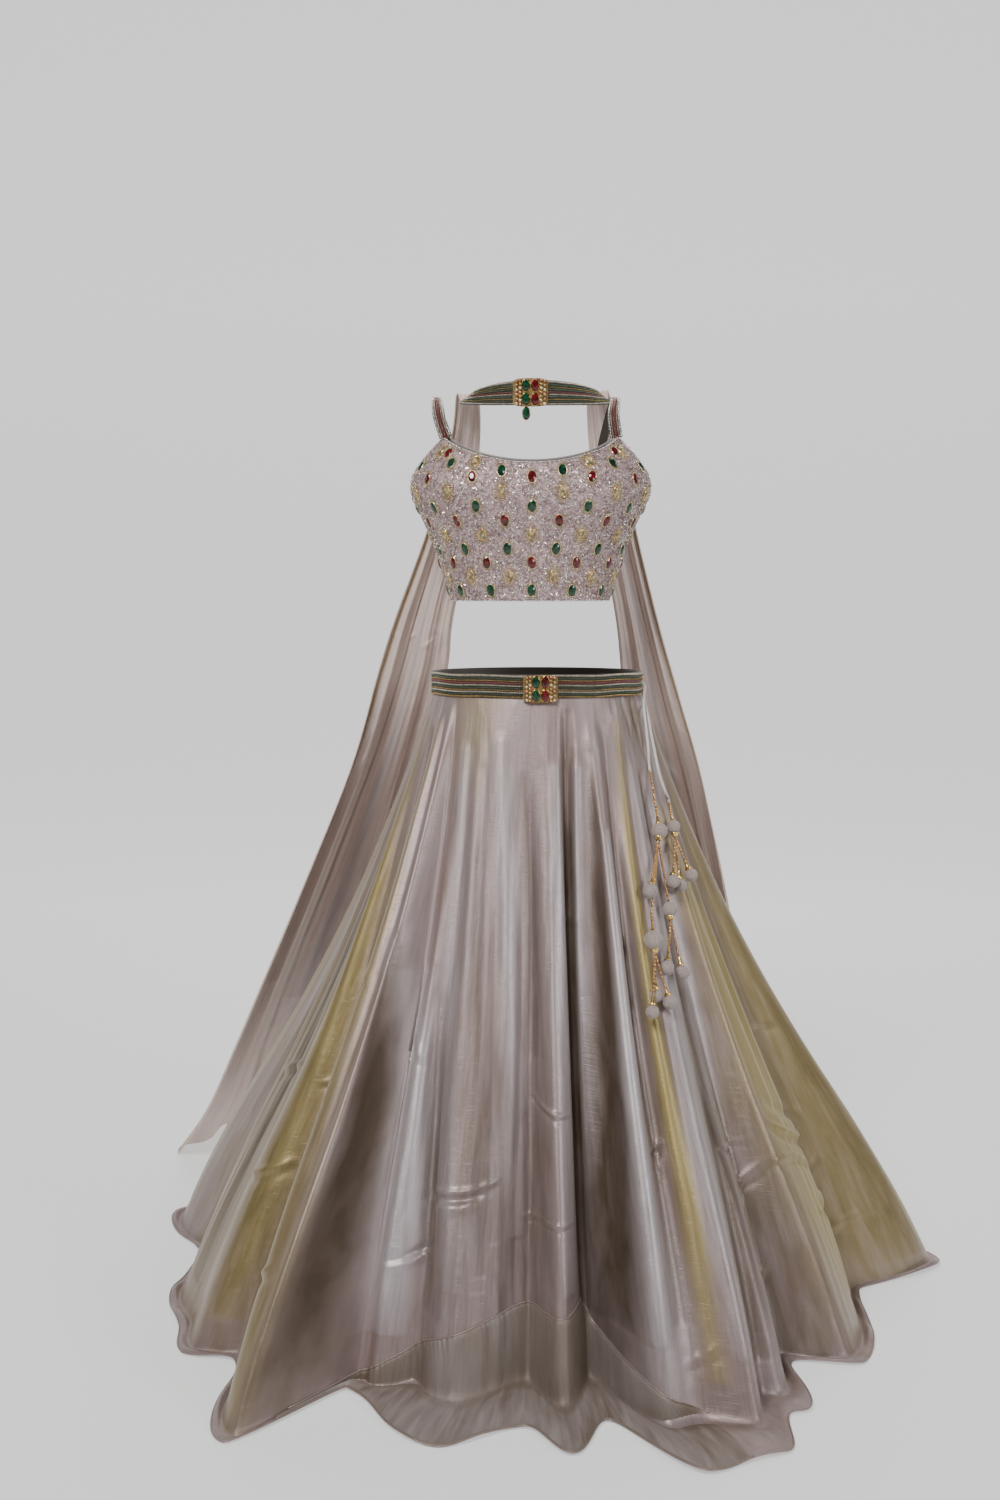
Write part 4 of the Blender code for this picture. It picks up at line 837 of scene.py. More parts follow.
def skirt_surface(deg, along):
    """Middle of the skirt's cloth. along runs 0 at the belt, 1 where it meets the floor, 2 at the hem."""
    turn = np.radians(deg)
    waist_turn = turn + math.radians(WAIST_SPREAD_DEG) * np.sin(2 * turn)
    fall = np.clip(along, 0, 1)
    share = smooth_through([f.fall for f in FLARES], [f.share for f in FLARES], fall)
    spread = floor_spread(deg)
    landing = hem_reach(deg) - spread
    reach = landing + spread * np.clip(along - 1, -1, 2) * (along > 1)
    waist_x = WAIST_HALF_WIDTH * np.sin(waist_turn)
    waist_y = -WAIST_HALF_DEPTH * np.cos(waist_turn)
    lift = crest_lift(deg, fall)
    x = waist_x * (1 - share) + (reach * share + lift) * np.sin(turn)
    y = waist_y * (1 - share) - (reach * share + lift) * np.cos(turn)
    floor_line = FLOOR + CLOTH / 2
    z = SKIRT_TOP + (floor_line - SKIRT_TOP) * along
    z = np.where(along > 1, floor_line, z)
    return np.stack(np.broadcast_arrays(x, y, z), axis=-1)


def skirt_normals(deg, along):
    inside = np.minimum(along, 0.995)
    du = skirt_surface(deg + 0.25, inside) - skirt_surface(deg - 0.25, inside)
    dv = skirt_surface(deg, inside + 0.004) - skirt_surface(deg, inside - 0.004)
    normal = unit(np.cross(du, dv))
    turn = np.radians(deg)
    radial = np.stack([np.sin(turn), -np.cos(turn), np.zeros_like(turn)], axis=-1)
    normal = normal * np.where((normal * radial).sum(axis=-1, keepdims=True) < 0, -1, 1)
    lying = np.clip((along - 0.97) / 0.08, 0, 1)[..., None]
    return unit(normal * (1 - lying) + np.array([0.0, 0.0, 1.0]) * lying)


def local_metres(deg, along):
    """Across and down in metres near each place, so that a crease has one width all along."""
    radius = 0.145 + 0.47 * np.clip(along, 0, 1)
    return np.radians(deg) * radius, along * (SKIRT_TOP - FLOOR), radius


def path_distance(deg, along, knots):
    """Metres across the cloth from a fold's path at each height, and the share along the path."""
    ends = [k[1] for k in knots]
    centre = smooth_through(ends, [k[0] for k in knots], np.clip(along, ends[0], ends[-1]))
    _, _, radius = local_metres(deg, along)
    away = np.radians(wrapped_deg(deg - centre)) * radius
    share = np.clip((along - ends[0]) / (ends[-1] - ends[0]), 0, 1)
    return away, share


def bell(x):
    return np.exp(-(x**2))


def soft_fold_field(deg, along):
    """Height of the long soft folds, and their painted light and that of the broad washes: gold, painted
    shade, painted highlight.
    """
    lift = np.zeros(deg.shape)
    tone = np.zeros(deg.shape + (3,))
    for fold in SOFT_FOLDS:
        away, share = path_distance(deg, along, fold.path)
        taper = np.sin(math.pi * np.clip(share * 0.92 + 0.04, 0, 1)) ** 0.45
        taper = taper * (share > 0) * (share < 1)
        width = fold.half_width * (0.55 + 0.75 * share)
        shape = bell(away / width) - 0.45 * bell((np.abs(away) - 1.9 * width) / width)
        lift += fold.lift * shape * taper
        # Painted light along each fold: gold sheen, painted shade and painted highlight.
        wide = bell(away / (width * 1.35)) * taper
        for k, amount in enumerate((fold.gold, fold.brown, fold.pale)):
            tone[..., k] = np.maximum(tone[..., k], amount * wide)
    # Broad washes of painted shade, painted highlight and gold sheen.
    for wash in WASHES:
        cover = bell(wrapped_deg(deg - wash.deg) / wash.half_deg) * bell((along - wash.along) / wash.reach)
        for k, amount in enumerate((wash.gold, wash.brown, wash.pale)):
            tone[..., k] = 1 - (1 - tone[..., k]) * (1 - amount * cover)
    return lift, tone


def crease_field(deg, along, creases):
    """Height of the short crushed creases."""
    across, down, _ = local_metres(deg, along)
    lift = np.zeros(deg.shape)
    for crease in creases:
        ax, ay, _ = local_metres(np.array(crease.deg_a), np.array(crease.along_a))
        bx, by, _ = local_metres(np.array(crease.deg_b), np.array(crease.along_b))
        middle_radius = 0.145 + 0.47 * (crease.along_a + crease.along_b) / 2
        scale = middle_radius / (0.145 + 0.47 * np.clip(along, 0, 1))
        length = math.hypot(bx - ax, by - ay)
        ux, uy = (bx - ax) / length, (by - ay) / length
        dx, dy = across * scale - ax, down - ay
        run = (dx * ux + dy * uy) / length
        off = -dx * uy + dy * ux - crease.bend * (1 - (2 * run - 1) ** 2)
        taper = np.where((run > 0) & (run < 1), np.sin(math.pi * np.clip(run, 0, 1)) ** 0.7, 0)
        shape = (
            bell(off / crease.half_width)
            - 0.6 * bell((off - 1.7 * crease.half_width) / (1.3 * crease.half_width))
        )
        lift += crease.lift * shape * taper
    return lift


def gather_field(deg, along, gathers):
    lift = np.zeros(deg.shape)
    _, _, radius = local_metres(deg, along)
    for gather in gathers:
        away = np.radians(wrapped_deg(deg - gather.deg - 4.0 * along)) * radius
        fade = np.clip(1 - along / gather.length, 0, 1) ** 1.2 * np.clip(along / 0.006, 0, 1)
        lift += gather.lift * bell(away / (gather.half_width * (1 + 5 * along))) * fade
    return lift


def back_folds():
    """Soft folds for the sides that the photograph doesn't show: one on each ridge, with gold partly weave
    and partly painted sheen and a painted highlight, and one in each valley, with painted shade.
    """
    made = []
    random = np.random.default_rng(7)
    for fold in FOLDS:
        for deg, ridge in ((fold.ridge_deg, True), (fold.valley_deg, False)):
            if abs(deg) < SIDE_SEAM_DEG:
                continue
            start = random.uniform(0.03, 0.2)
            sway = random.uniform(-3, 3)
            path = ((deg + sway, start), (deg + sway * 0.5, 0.5), (deg, 0.95))
            width = random.uniform(0.014, 0.024)
            # Ridges get gold sheen and painted highlight, valleys painted shade.
            if ridge:
                gold = random.uniform(0.2, 0.9)
                made.append(Soft(path, width, 0.005, gold, 0.0, 0.7 * (1 - gold)))
            else:
                made.append(Soft(path, width, -0.005, 0.1, random.uniform(0.5, 0.9), 0.0))
    return tuple(made)


def back_creases():
    random = np.random.default_rng(11)
    made = []
    for _ in range(26):
        deg = random.uniform(98, 262)
        along = random.uniform(0.35, 0.92)
        length = random.uniform(6, 16)
        tilt = random.uniform(-0.04, 0.04)
        lift = random.uniform(0.003, 0.006)
        width = random.uniform(0.0035, 0.0065)
        made.append(Crease(deg, along, deg + length, along + tilt, width, lift, random.uniform(-0.01, 0.01)))
    return tuple(made)


SOFT_FOLDS = SOFT_FOLDS + back_folds()
BACK_CREASES = back_creases()


def ripple_field(deg, along):
    """Fine long ripples that run down tissue silk, and small waves of the hem on the floor."""
    wide = np.radians(deg)
    ripple = (
        np.sin(wide * 61 + 1.3 * np.sin(along * 5))
        + 0.7 * np.sin(wide * 97 + 2.1 + 1.1 * np.sin(along * 7 + 1))
        + 0.5 * np.sin(wide * 151 + 0.7 * np.sin(along * 9 + 2))
    )
    grow = np.clip(along * 2.2, 0, 1) * (0.5 + 0.5 * np.sin(along * 4 + 3 * np.sin(wide * 5)))
    return 0.0007 * ripple * grow * np.clip((1.04 - along) / 0.06, 0, 1)


def hem_wave(deg, along):
    """How high the cloth that lies on the floor is lifted in waves."""
    wide = np.radians(deg)
    out = np.clip(along - 1, 0, 1)
    wave = 0.5 + 0.5 * np.sin(wide * 23 + 1.1) * np.sin(wide * 7.3 + 0.4)
    wave = wave + 0.25 * (1 + np.sin(wide * 41 + 2.0 * out))
    return 0.009 * wave * np.sin(math.pi * np.clip(out * 0.8, 0, 1))


def skirt_skin(deg, along, lift, short_creases):
    """The skirt's outside with all its folds, moved out by lift, and its tones."""
    folds, tone = soft_fold_field(deg, along)
    upright = np.clip((1.0 - along) / 0.03, 0, 1)
    creases = crease_field(deg, along, short_creases)
    gathers = gather_field(deg, along, GATHERS)
    height = (folds + creases) * upright + gathers + ripple_field(deg, along)
    height = height * np.clip(along / 0.012, 0, 1) + lift
    points = skirt_surface(deg, along) + skirt_normals(deg, along) * height[..., None]
    points[..., 2] += hem_wave(deg, along)
    points[..., 2] = np.maximum(points[..., 2], FLOOR + CLOTH / 2 + lift)
    return points, tone


def rounded_landing(points, along):
    """Smooths the bend where the cloth meets the floor."""
    weight = (np.clip((along - 0.955) / 0.02, 0, 1) * np.clip((1.55 - along) / 0.3, 0, 1))[..., None]
    for _ in range(14):
        inner = (points[:, :-2] + 2 * points[:, 1:-1] + points[:, 2:]) / 4
        points[:, 1:-1] = points[:, 1:-1] * (1 - weight[:, 1:-1]) + inner * weight[:, 1:-1]
    return points


def skirt_along(upper, creased, floor_rows):
    """Rows of the skirt's grid, closest together where the short creases lie."""
    return np.concatenate([
        np.linspace(0, 0.56, upper, endpoint=False),
        np.linspace(0.56, 0.87, creased, endpoint=False),
        np.linspace(0.87, 1.0, 26),
        np.linspace(1.05, 2.0, floor_rows),
    ])


def fold_metres(deg, along):
    """A UV map whose grain runs down the folds and out over the floor."""
    fallen = np.minimum(along, 1) * (SKIRT_TOP - FLOOR) + np.maximum(along - 1, 0) * 0.11
    return np.stack([np.radians(deg) * 0.46, fallen], axis=-1)


def cloth_metres(points):
    """Distances along the grid's middle lines, as a UV map in metres."""
    across = np.linalg.norm(np.diff(points, axis=0), axis=-1)
    down = np.linalg.norm(np.diff(points, axis=1), axis=-1)
    u = np.concatenate([np.zeros((1, points.shape[1])), np.cumsum(across, axis=0)])
    v = np.concatenate([np.zeros((points.shape[0], 1)), np.cumsum(down, axis=1)], axis=1)
    return np.stack([u, v], axis=-1)


def sheet_area(points):
    across = np.diff(points, axis=0)[:, :-1]
    down = np.diff(points, axis=1)[:-1]
    return float(np.linalg.norm(np.cross(across, down), axis=-1).sum())


def declare_sheet(points):
    """Works out the size a piece of cloth was cut to, from its own area and edges; the result is not kept."""
    widest = max(np.linalg.norm(np.diff(points[:, row], axis=0), axis=-1).sum() for row in (0, -1))
    longest = max(
        np.linalg.norm(np.diff(points[c], axis=0), axis=-1).sum() for c in (0, len(points) // 2, -1)
    )
    area = sheet_area(points)
    flat = (round(max(widest, area / longest), 4), round(longest, 4))
    area = min(max(area, 0.3 * flat[0] * flat[1]), flat[0] * flat[1])


def rolled_edge(name, line, radius, mat):
    return tube_object(name, line, radius, 6, mat)


def make_skirt(name, degs, along, node, short_creases):
    across, down = np.meshgrid(degs, along, indexing="ij")
    points, tone = skirt_skin(across, down, CLOTH / 4, short_creases)
    points = rounded_landing(points, down)
    made = sheet_object(name, points, fold_metres(across, down), tone, SKIRT_CLOTH)
    edge = rolled_edge(name + "_rolled_hem", points[:, -1] + np.array([0, 0, 0.0002]), 0.0013, SKIRT_CLOTH)
    add_cloth_data(edge, np.zeros((len(edge.data.vertices), 2)), np.zeros((len(edge.data.vertices), 3)))
    for piece in (made, edge):
        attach(piece, "root")
    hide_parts(node)
    declare_sheet(points)
    return made


def seam_along(deg):
    heights = np.interp(wrapped_deg(deg), [p.deg for p in BAND_SEAM], [p.height_m for p in BAND_SEAM])
    return 1 - heights / (SKIRT_TOP - FLOOR)


def make_hem_band():
    """The broad facing turned out at the front hem, puckered where it is sewn on."""
    degs = np.linspace(BAND_SEAM[1].deg, BAND_SEAM[-2].deg, 300)
    seam = seam_along(degs)
    share = np.concatenate([np.linspace(0, 1, 26) ** 1.3, [1.0 + k / 22 for k in range(1, 23)]])
    down = np.where(share[None, :] <= 1, seam[:, None] + (1 - seam[:, None]) * share[None, :], share[None, :])
    across = np.repeat(degs[:, None], len(share), axis=1)
    points, _ = skirt_skin(across, down, CLOTH / 4 + 0.0023, CREASES)
    points = rounded_landing(points, down)
    metres = cloth_metres(points)
    near = bell(metres[..., 1] / 0.022) * (0.35 + 0.65 * bell((across + 26) / 7))
    pucker = 0.0010 * near * np.sin(metres[..., 0] * 620 + 3.0 * np.sin(metres[..., 0] * 70))
    dip = 0.0016 * bell(metres[..., 1] / 0.004)
    points = points + skirt_normals(across, np.minimum(down, 1.0)) * (pucker - dip)[..., None]
    # Painted light on the band: a painted highlight with a little gold sheen where it lies on the floor, and
    # painted shade in the bend at the floor and in the hollow beside the fold near 13.5 degrees.
    tone = np.zeros(points.shape)
    lying = np.clip((down - 1.0) / 0.25, 0, 1)
    tone[..., 2] = 0.32 * lying
    tone[..., 0] = 0.12 * lying
    tone[..., 1] = 0.45 * bell((down - 1.03) / 0.03) + 0.25 * bell((across - 13.5) / 3.0) * (down < 1.05)
    made = sheet_object("hem_band_cloth", points, fold_metres(across, down), tone, BAND_CLOTH)
    welt = tube_object("hem_band_welt", points[:, 0], 0.0013, 6, SKIRT_CLOTH)
    tail = tube_object("hem_band_rolled_hem", points[:, -1], 0.0012, 6, BAND_CLOTH)
    for piece in (welt, tail):
        add_cloth_data(
            piece, np.zeros((len(piece.data.vertices), 2)), np.full((len(piece.data.vertices), 3), 0.25)
        )
    for piece in (made, welt, tail):
        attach(piece, "root")
    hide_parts("hem_band")
    declare_sheet(points)


# Bead rows

BEAD = sphere_template()


def bead_row(line, outs, width, height, depth, step):
    """Centres, axes and sizes of beads set close along a line."""
    places, tangent, share = even_steps(line, step)
    lengths = np.linspace(0, 1, len(outs))
    out = np.stack([np.interp(share, lengths, outs[:, k]) for k in range(3)], axis=-1)
    out = unit(out - tangent * (out * tangent).sum(axis=-1, keepdims=True))
    up = np.cross(out, tangent)
    sizes = np.broadcast_to([width / 2, height / 2, depth / 2], (len(places), 3))
    return places, tangent, up, out, sizes


def joined_rows(name, rows, colours):
    """All bead rows of a piece as one mesh. rows holds what bead_row gives, with its colour."""
    names = sorted(set(colours))
    which = np.concatenate([np.full(len(row[0]), names.index(colour)) for row, colour in zip(rows, colours)])
    stacked = [np.concatenate([np.asarray(row[k]) for row in rows]) for k in range(5)]
    return joined_copies(name, BEAD, *stacked, [BEADS[n] for n in names], which)


# Belt

BeadRow = namedtuple("BeadRow", "colour height")
BELT_ROWS = (
    BeadRow("old_silver", 0.0042),
    BeadRow("green", 0.0034),
    BeadRow("old_gold", 0.0026),
    BeadRow("red", 0.0038),
    BeadRow("old_silver", 0.0030),
    BeadRow("green", 0.0036),
    BeadRow("old_gold", 0.0026),
    BeadRow("old_silver", 0.0032),
    BeadRow("green", 0.0030),
    BeadRow("old_gold", 0.0036),
)


def belt_ring(turn, reach):
    return np.stack(
        [(WAIST_HALF_WIDTH + reach) * np.sin(turn), -(WAIST_HALF_DEPTH + reach) * np.cos(turn)], axis=-1
    )


def belt_turns(count):
    half_gap = BELT_OPENING / 2 / WAIST_HALF_DEPTH
    start = math.radians(BELT_OPENING_DEG) + half_gap
    return np.linspace(start, start + 2 * math.pi - 2 * half_gap, count)


def make_belt():
    turn = belt_turns(260)
    heights = np.linspace(BELT_HEIGHT / 2, -BELT_HEIGHT / 2, 9)
    points = np.zeros((len(turn), len(heights), 3))
    for row, height in enumerate(heights):
        points[:, row, :2] = belt_ring(turn, BELT_WALL / 2 - 0.0012)
        points[:, row, 2] = height
    made = sheet_object("belt_cloth_wall", points, cloth_metres(points), None, BELT_CLOTH)
    thicken(made, BELT_WALL - 0.0016, 0.0)
    outs = np.concatenate([belt_ring(turn, 1.0) - belt_ring(turn, 0.0), np.zeros((len(turn), 1))], axis=1)
    rows = []
    total = sum(row.height for row in BELT_ROWS)
    top = BELT_HEIGHT / 2
    for row in BELT_ROWS:
        tall = row.height * BELT_HEIGHT / total
        line = np.zeros((len(turn), 3))
        sag = 0.0006 * np.sin(turn * 9)
        line[:, :2] = belt_ring(turn, BELT_WALL / 2 + 0.0006)
        line[:, 2] = top - tall / 2 + sag
        top -= tall
        rows.append(bead_row(line, unit(outs), 0.0025, tall * 0.86, 0.0034, 0.0027))
    beads = joined_rows("belt_beads", rows, [row.colour for row in BELT_ROWS])
    for piece in (made, beads):
        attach(piece, "root")
    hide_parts("belt")
    declare_sheet(points)


# Choli

def choli_section(height):
    table = [section.height - WAIST_HEIGHT for section in CHOLI_SECTIONS]
    half_width = smooth_through(table, [section.half_width for section in CHOLI_SECTIONS], height)
    front = smooth_through(table, [section.front for section in CHOLI_SECTIONS], height)
    back = smooth_through(table, [section.back for section in CHOLI_SECTIONS], height)
    return half_width, front, back


def choli_top(deg):
    wrapped = np.abs(wrapped_deg(deg))
    rise = (np.sin(np.radians(wrapped)) / math.sin(math.radians(STRAP_DEG))) ** 2
    scoop = NECKLINE_LOW + NECKLINE_RISE * np.minimum(rise, 1)
    peak = NECKLINE_LOW + NECKLINE_RISE
    armhole = eased([STRAP_DEG, CHOLI_SIDE_DEG, 180], [peak, CHOLI_SIDE_TOP, CHOLI_SIDE_TOP], wrapped)
    return np.where(wrapped < STRAP_DEG, scoop, armhole)


def choli_place(deg, height):
    turn = np.radians(np.asarray(deg, dtype=float))
    half_width, front, back = choli_section(height)
    depth = np.where(np.cos(turn) > 0, front, back)
    folded = np.abs(wrapped_deg(deg))
    cup = np.exp(-(((folded - CUP_DEG) / CUP_SPREAD_DEG) ** 2) - ((height - CUP_HEIGHT) / CUP_SPREAD) ** 2)
    x = CHOLI_SHIFT + half_width * np.sin(turn)
    y = -depth * np.cos(turn) - CUP_LIFT * cup
    return np.stack(np.broadcast_arrays(x, y, height), axis=-1)


def choli_axes(deg, height):
    """Outside place, side, up and outward directions at many places of the choli."""
    deg = np.asarray(deg, dtype=float)
    height = np.asarray(height, dtype=float)
    du = choli_place(deg + 0.5, height) - choli_place(deg - 0.5, height)
    dv = choli_place(deg, height + 0.001) - choli_place(deg, height - 0.001)
    out = unit(np.cross(du, dv))
    side = unit(du)
    up = np.cross(out, side)
    return choli_place(deg, height), side, up, out


# Stones that follow the neckline over the regular ones: angle, height and colour.
NECKLINE_STONES = (
    (-STONE_COLUMN_DEG, 1.3150 - WAIST_HEIGHT, "green"),
    (STONE_COLUMN_DEG, 1.3160 - WAIST_HEIGHT, "green"),
    (-2 * STONE_COLUMN_DEG, 1.3290 - WAIST_HEIGHT, "champagne"),
    (2 * STONE_COLUMN_DEG, 1.3300 - WAIST_HEIGHT, "champagne"),
    (-49, 1.3440 - WAIST_HEIGHT, "red"),
    (50, 1.3470 - WAIST_HEIGHT, "red"),
)


def choli_stones(start_deg, end_deg):
    """Angle, height and colour of each stone: columns round the body, each second one half a step up."""
    edge = 0.0145
    columns = int(round(360 / STONE_COLUMN_DEG))
    places = [stone for stone in NECKLINE_STONES if start_deg < stone[0] < end_deg]
    for column in range(-(columns // 2), columns // 2 + 1):
        for turned in (column * STONE_COLUMN_DEG, column * STONE_COLUMN_DEG + 360):
            if not start_deg + 5 < turned < end_deg - 5:
                continue
            for row in range(STONE_ROWS):
                odd = column % 2
                height = STONE_LOWEST + STONE_STEP * (row + 0.5 * odd)
                if CHOLI_HEM + edge < height < float(choli_top(turned)) - edge:
                    colour = ("green", "red", "champagne")[(row + 2 * odd) % 3]
                    places.append((turned, height, colour))
    return places


CHOLI_STONE = (0.0066, 0.0096)


def make_choli_panel(name, start_deg, end_deg, columns, rows, loose, seed):
    degs = np.linspace(start_deg, end_deg, columns)
    shares = np.linspace(0, 1, rows)
    across, share = np.meshgrid(degs, shares, indexing="ij")
    height = CHOLI_HEM + share * (choli_top(across) - CHOLI_HEM)
    base, _, _, out = choli_axes(across, height)
    wrinkle = (
        0.0008 * np.sin(height * 160 + 2 * np.sin(np.radians(across) * 7))
        * np.abs(np.sin(np.radians(across)))
    )
    points = base + out * (wrinkle + CHOLI_WALL / 2 - 0.0004)[..., None]
    made = sheet_object(name, points, cloth_metres(points), None, CHOLI_GROUND)
    made.data.materials.append(LINING)
    thicken(made, CHOLI_WALL - 0.0008, -1.0)
    made.modifiers["wall"].material_offset = 1
    made.modifiers["wall"].material_offset_rim = 0
    places = choli_stones(start_deg, end_deg)
    pieces = [add_choli_stones(name, places), add_choli_halos(name, places)]
    pieces += add_choli_glitter(name, places, start_deg, end_deg, loose, seed)
    pieces.append(add_choli_edges(name, start_deg, end_deg))
    for piece in [made] + pieces:
        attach(piece, "root")
    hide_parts(name.replace("_cloth", ""))
    declare_sheet(points)


def add_choli_stones(name, places):
    """Each stone sits in a metal rim, gold round the champagne ones and champagne-coloured metal round the
    others.
    """
    deg = np.array([p[0] for p in places])
    height = np.array([p[1] for p in places])
    base, side, up, out = choli_axes(deg, height)
    tilt = np.radians(10 * np.sin(deg * 3.1 + height * 400))[:, None]
    turned_side = side * np.cos(tilt) + up * np.sin(tilt)
    turned_up = up * np.cos(tilt) - side * np.sin(tilt)
    centre = base + out * (CHOLI_WALL / 2 + 0.0002)
    which = np.array([("green", "red", "champagne").index(p[2]) for p in places])
    sizes = np.array([[CHOLI_STONE[0], CHOLI_STONE[1], 0.0040]]) * np.where(which == 2, 0.92, 1.0)[:, None]
    materials = [STONES["green"], STONES["red"], STONES["champagne"]]
    stones = joined_copies(
        name + "_stones", stone_template(), centre, turned_side, turned_up, out,
        sizes, materials, which, False
    )
    rims = joined_copies(
        name + "_rims", rim_template(), centre, turned_side, turned_up, out, sizes * [1.0, 1.0, 0.8],
        [BEADS["champagne"], BEADS["gold"]], np.where(which == 2, 1, 0)
    )
    rims.parent = stones
    return stones


def add_choli_halos(name, places):
    """A ring of small beads round each stone, and a second, looser one round the champagne ones."""
    centres, sides, ups, outs, which = [], [], [], [], []
    for deg, height, colour in places:
        base, side, up, out = (part[0] for part in choli_axes([deg], [height]))
        rings = ((1.40, 20, "gold"), (1.74, 24, "gold")) if colour == "champagne" else ((1.40, 20, "gold"),)
        for scale, count, bead in rings:
            for k in range(count):
                turn = 2 * math.pi * k / count
                offset = side * math.cos(turn) * CHOLI_STONE[0] + up * math.sin(turn) * CHOLI_STONE[1]
                centres.append(base + out * (CHOLI_WALL / 2 + 0.0006) + offset * scale)
                sides.append(side)
                ups.append(up)
                outs.append(out)
                which.append(0 if bead == "silver" else 1)
    return joined_copies(
        name + "_halos", BEAD, centres, np.array(sides), np.array(ups), np.array(outs),
        (0.0012, 0.0012, 0.0012), [BEADS["silver"], BEADS["champagne"]], which
    )


def add_choli_glitter(name, places, start_deg, end_deg, count, seed):
    """Sequins, cut tubes and seed beads sewn all over between the stones."""
    random = np.random.default_rng(seed)
    deg = random.uniform(start_deg + 0.5, end_deg - 0.5, count * 2)
    share = random.uniform(0.01, 0.985, count * 2)
    height = CHOLI_HEM + share * (choli_top(deg) - CHOLI_HEM)
    base, side, up, out = choli_axes(deg, height)
    stones, _, _, _ = choli_axes([p[0] for p in places], [p[1] for p in places])
    away = np.linalg.norm(base[:, None, :] - stones[None], axis=-1).min(axis=1)
    keep = np.where(away > 0.0118)[0][:count]
    base, side, up, out = base[keep], side[keep], up[keep], out[keep]
    turn = random.uniform(0, 2 * math.pi, len(keep))[:, None]
    spun = side * np.cos(turn) + up * np.sin(turn)
    tip = random.normal(0, 0.33, (len(keep), 3))
    out_tipped = unit(out + tip)
    spun = unit(spun - out_tipped * (spun * out_tipped).sum(axis=-1, keepdims=True))
    cross = np.cross(out_tipped, spun)
    place = base + out * (CHOLI_WALL / 2 + random.uniform(0.0004, 0.0014, len(keep))[:, None])
    third = len(keep) // 3
    made = []
    sequins = slice(0, third)
    tubes = slice(third, 2 * third)
    seeds = slice(2 * third, len(keep))
    made.append(joined_copies(
        name + "_sequins", disc_template(), place[sequins], spun[sequins], cross[sequins],
        out_tipped[sequins],
        (0.0015, 0.0015, 0.0015), [BEADS["silver"], BEADS["lilac"], BEADS["champagne"]],
        random.choice(3, third, p=(0.45, 0.4, 0.15)), False
    ))
    made.append(joined_copies(
        name + "_tubes", bugle_template(), place[tubes], spun[tubes], cross[tubes], out_tipped[tubes],
        (0.0006, 0.0022, 0.0006), [BEADS["silver"], BEADS["lilac"]],
        random.choice(2, third, p=(0.5, 0.5)), False
    ))
    made.append(joined_copies(
        name + "_seeds", sphere_template(5, 2), place[seeds], spun[seeds], cross[seeds], out_tipped[seeds],
        (0.0011, 0.0011, 0.0009), [BEADS["silver"], BEADS["lilac"], BEADS["pearl"]],
        random.choice(3, len(keep) - 2 * third, p=(0.4, 0.35, 0.25))
    ))
    return made


def add_choli_edges(name, start_deg, end_deg):
    """A close row of beads along the hem and along the top edge."""
    degs = np.linspace(start_deg + 0.4, end_deg - 0.4, 160)
    rows = []
    for height, lift in (
        (np.full_like(degs, CHOLI_HEM + 0.0012), 0.0006),
        (choli_top(degs) - 0.0012, 0.0006),
    ):
        base, _, _, out = choli_axes(degs, height)
        rows.append(bead_row(base + out * (CHOLI_WALL / 2 + lift), out, 0.0026, 0.0026, 0.0022, 0.0027))
    return joined_rows(name + "_edge_beads", rows, ["silver", "silver"])


def strap_route(side):
    front = choli_place(STRAP_DEG * side, NECKLINE_LOW + NECKLINE_RISE)
    back = choli_place(STRAP_BACK_DEG * side, CHOLI_SIDE_TOP)
    lift = 0.0006
    return np.array([
        (front[0], front[1], front[2] + lift),
        (STRAP_SHIFT + side * 0.1370, -0.050, SHOULDER_TOP - 0.032),
        (STRAP_SHIFT + side * 0.1407, -0.028, SHOULDER_TOP - 0.007),
        (STRAP_SHIFT + side * 0.1417, 0.002, SHOULDER_TOP),
        (STRAP_SHIFT + side * 0.1390, 0.036, SHOULDER_TOP - 0.012),
        (STRAP_SHIFT + side * 0.1280, 0.066, SHOULDER_TOP - 0.060),
        (back[0], back[1], back[2] + lift),
    ])


STRAP_ROWS = (
    BeadRow("silver", 0.0030),
    BeadRow("old_silver", 0.0020),
    BeadRow("red", 0.0048),
    BeadRow("old_silver", 0.0020),
    BeadRow("silver", 0.0030),
)


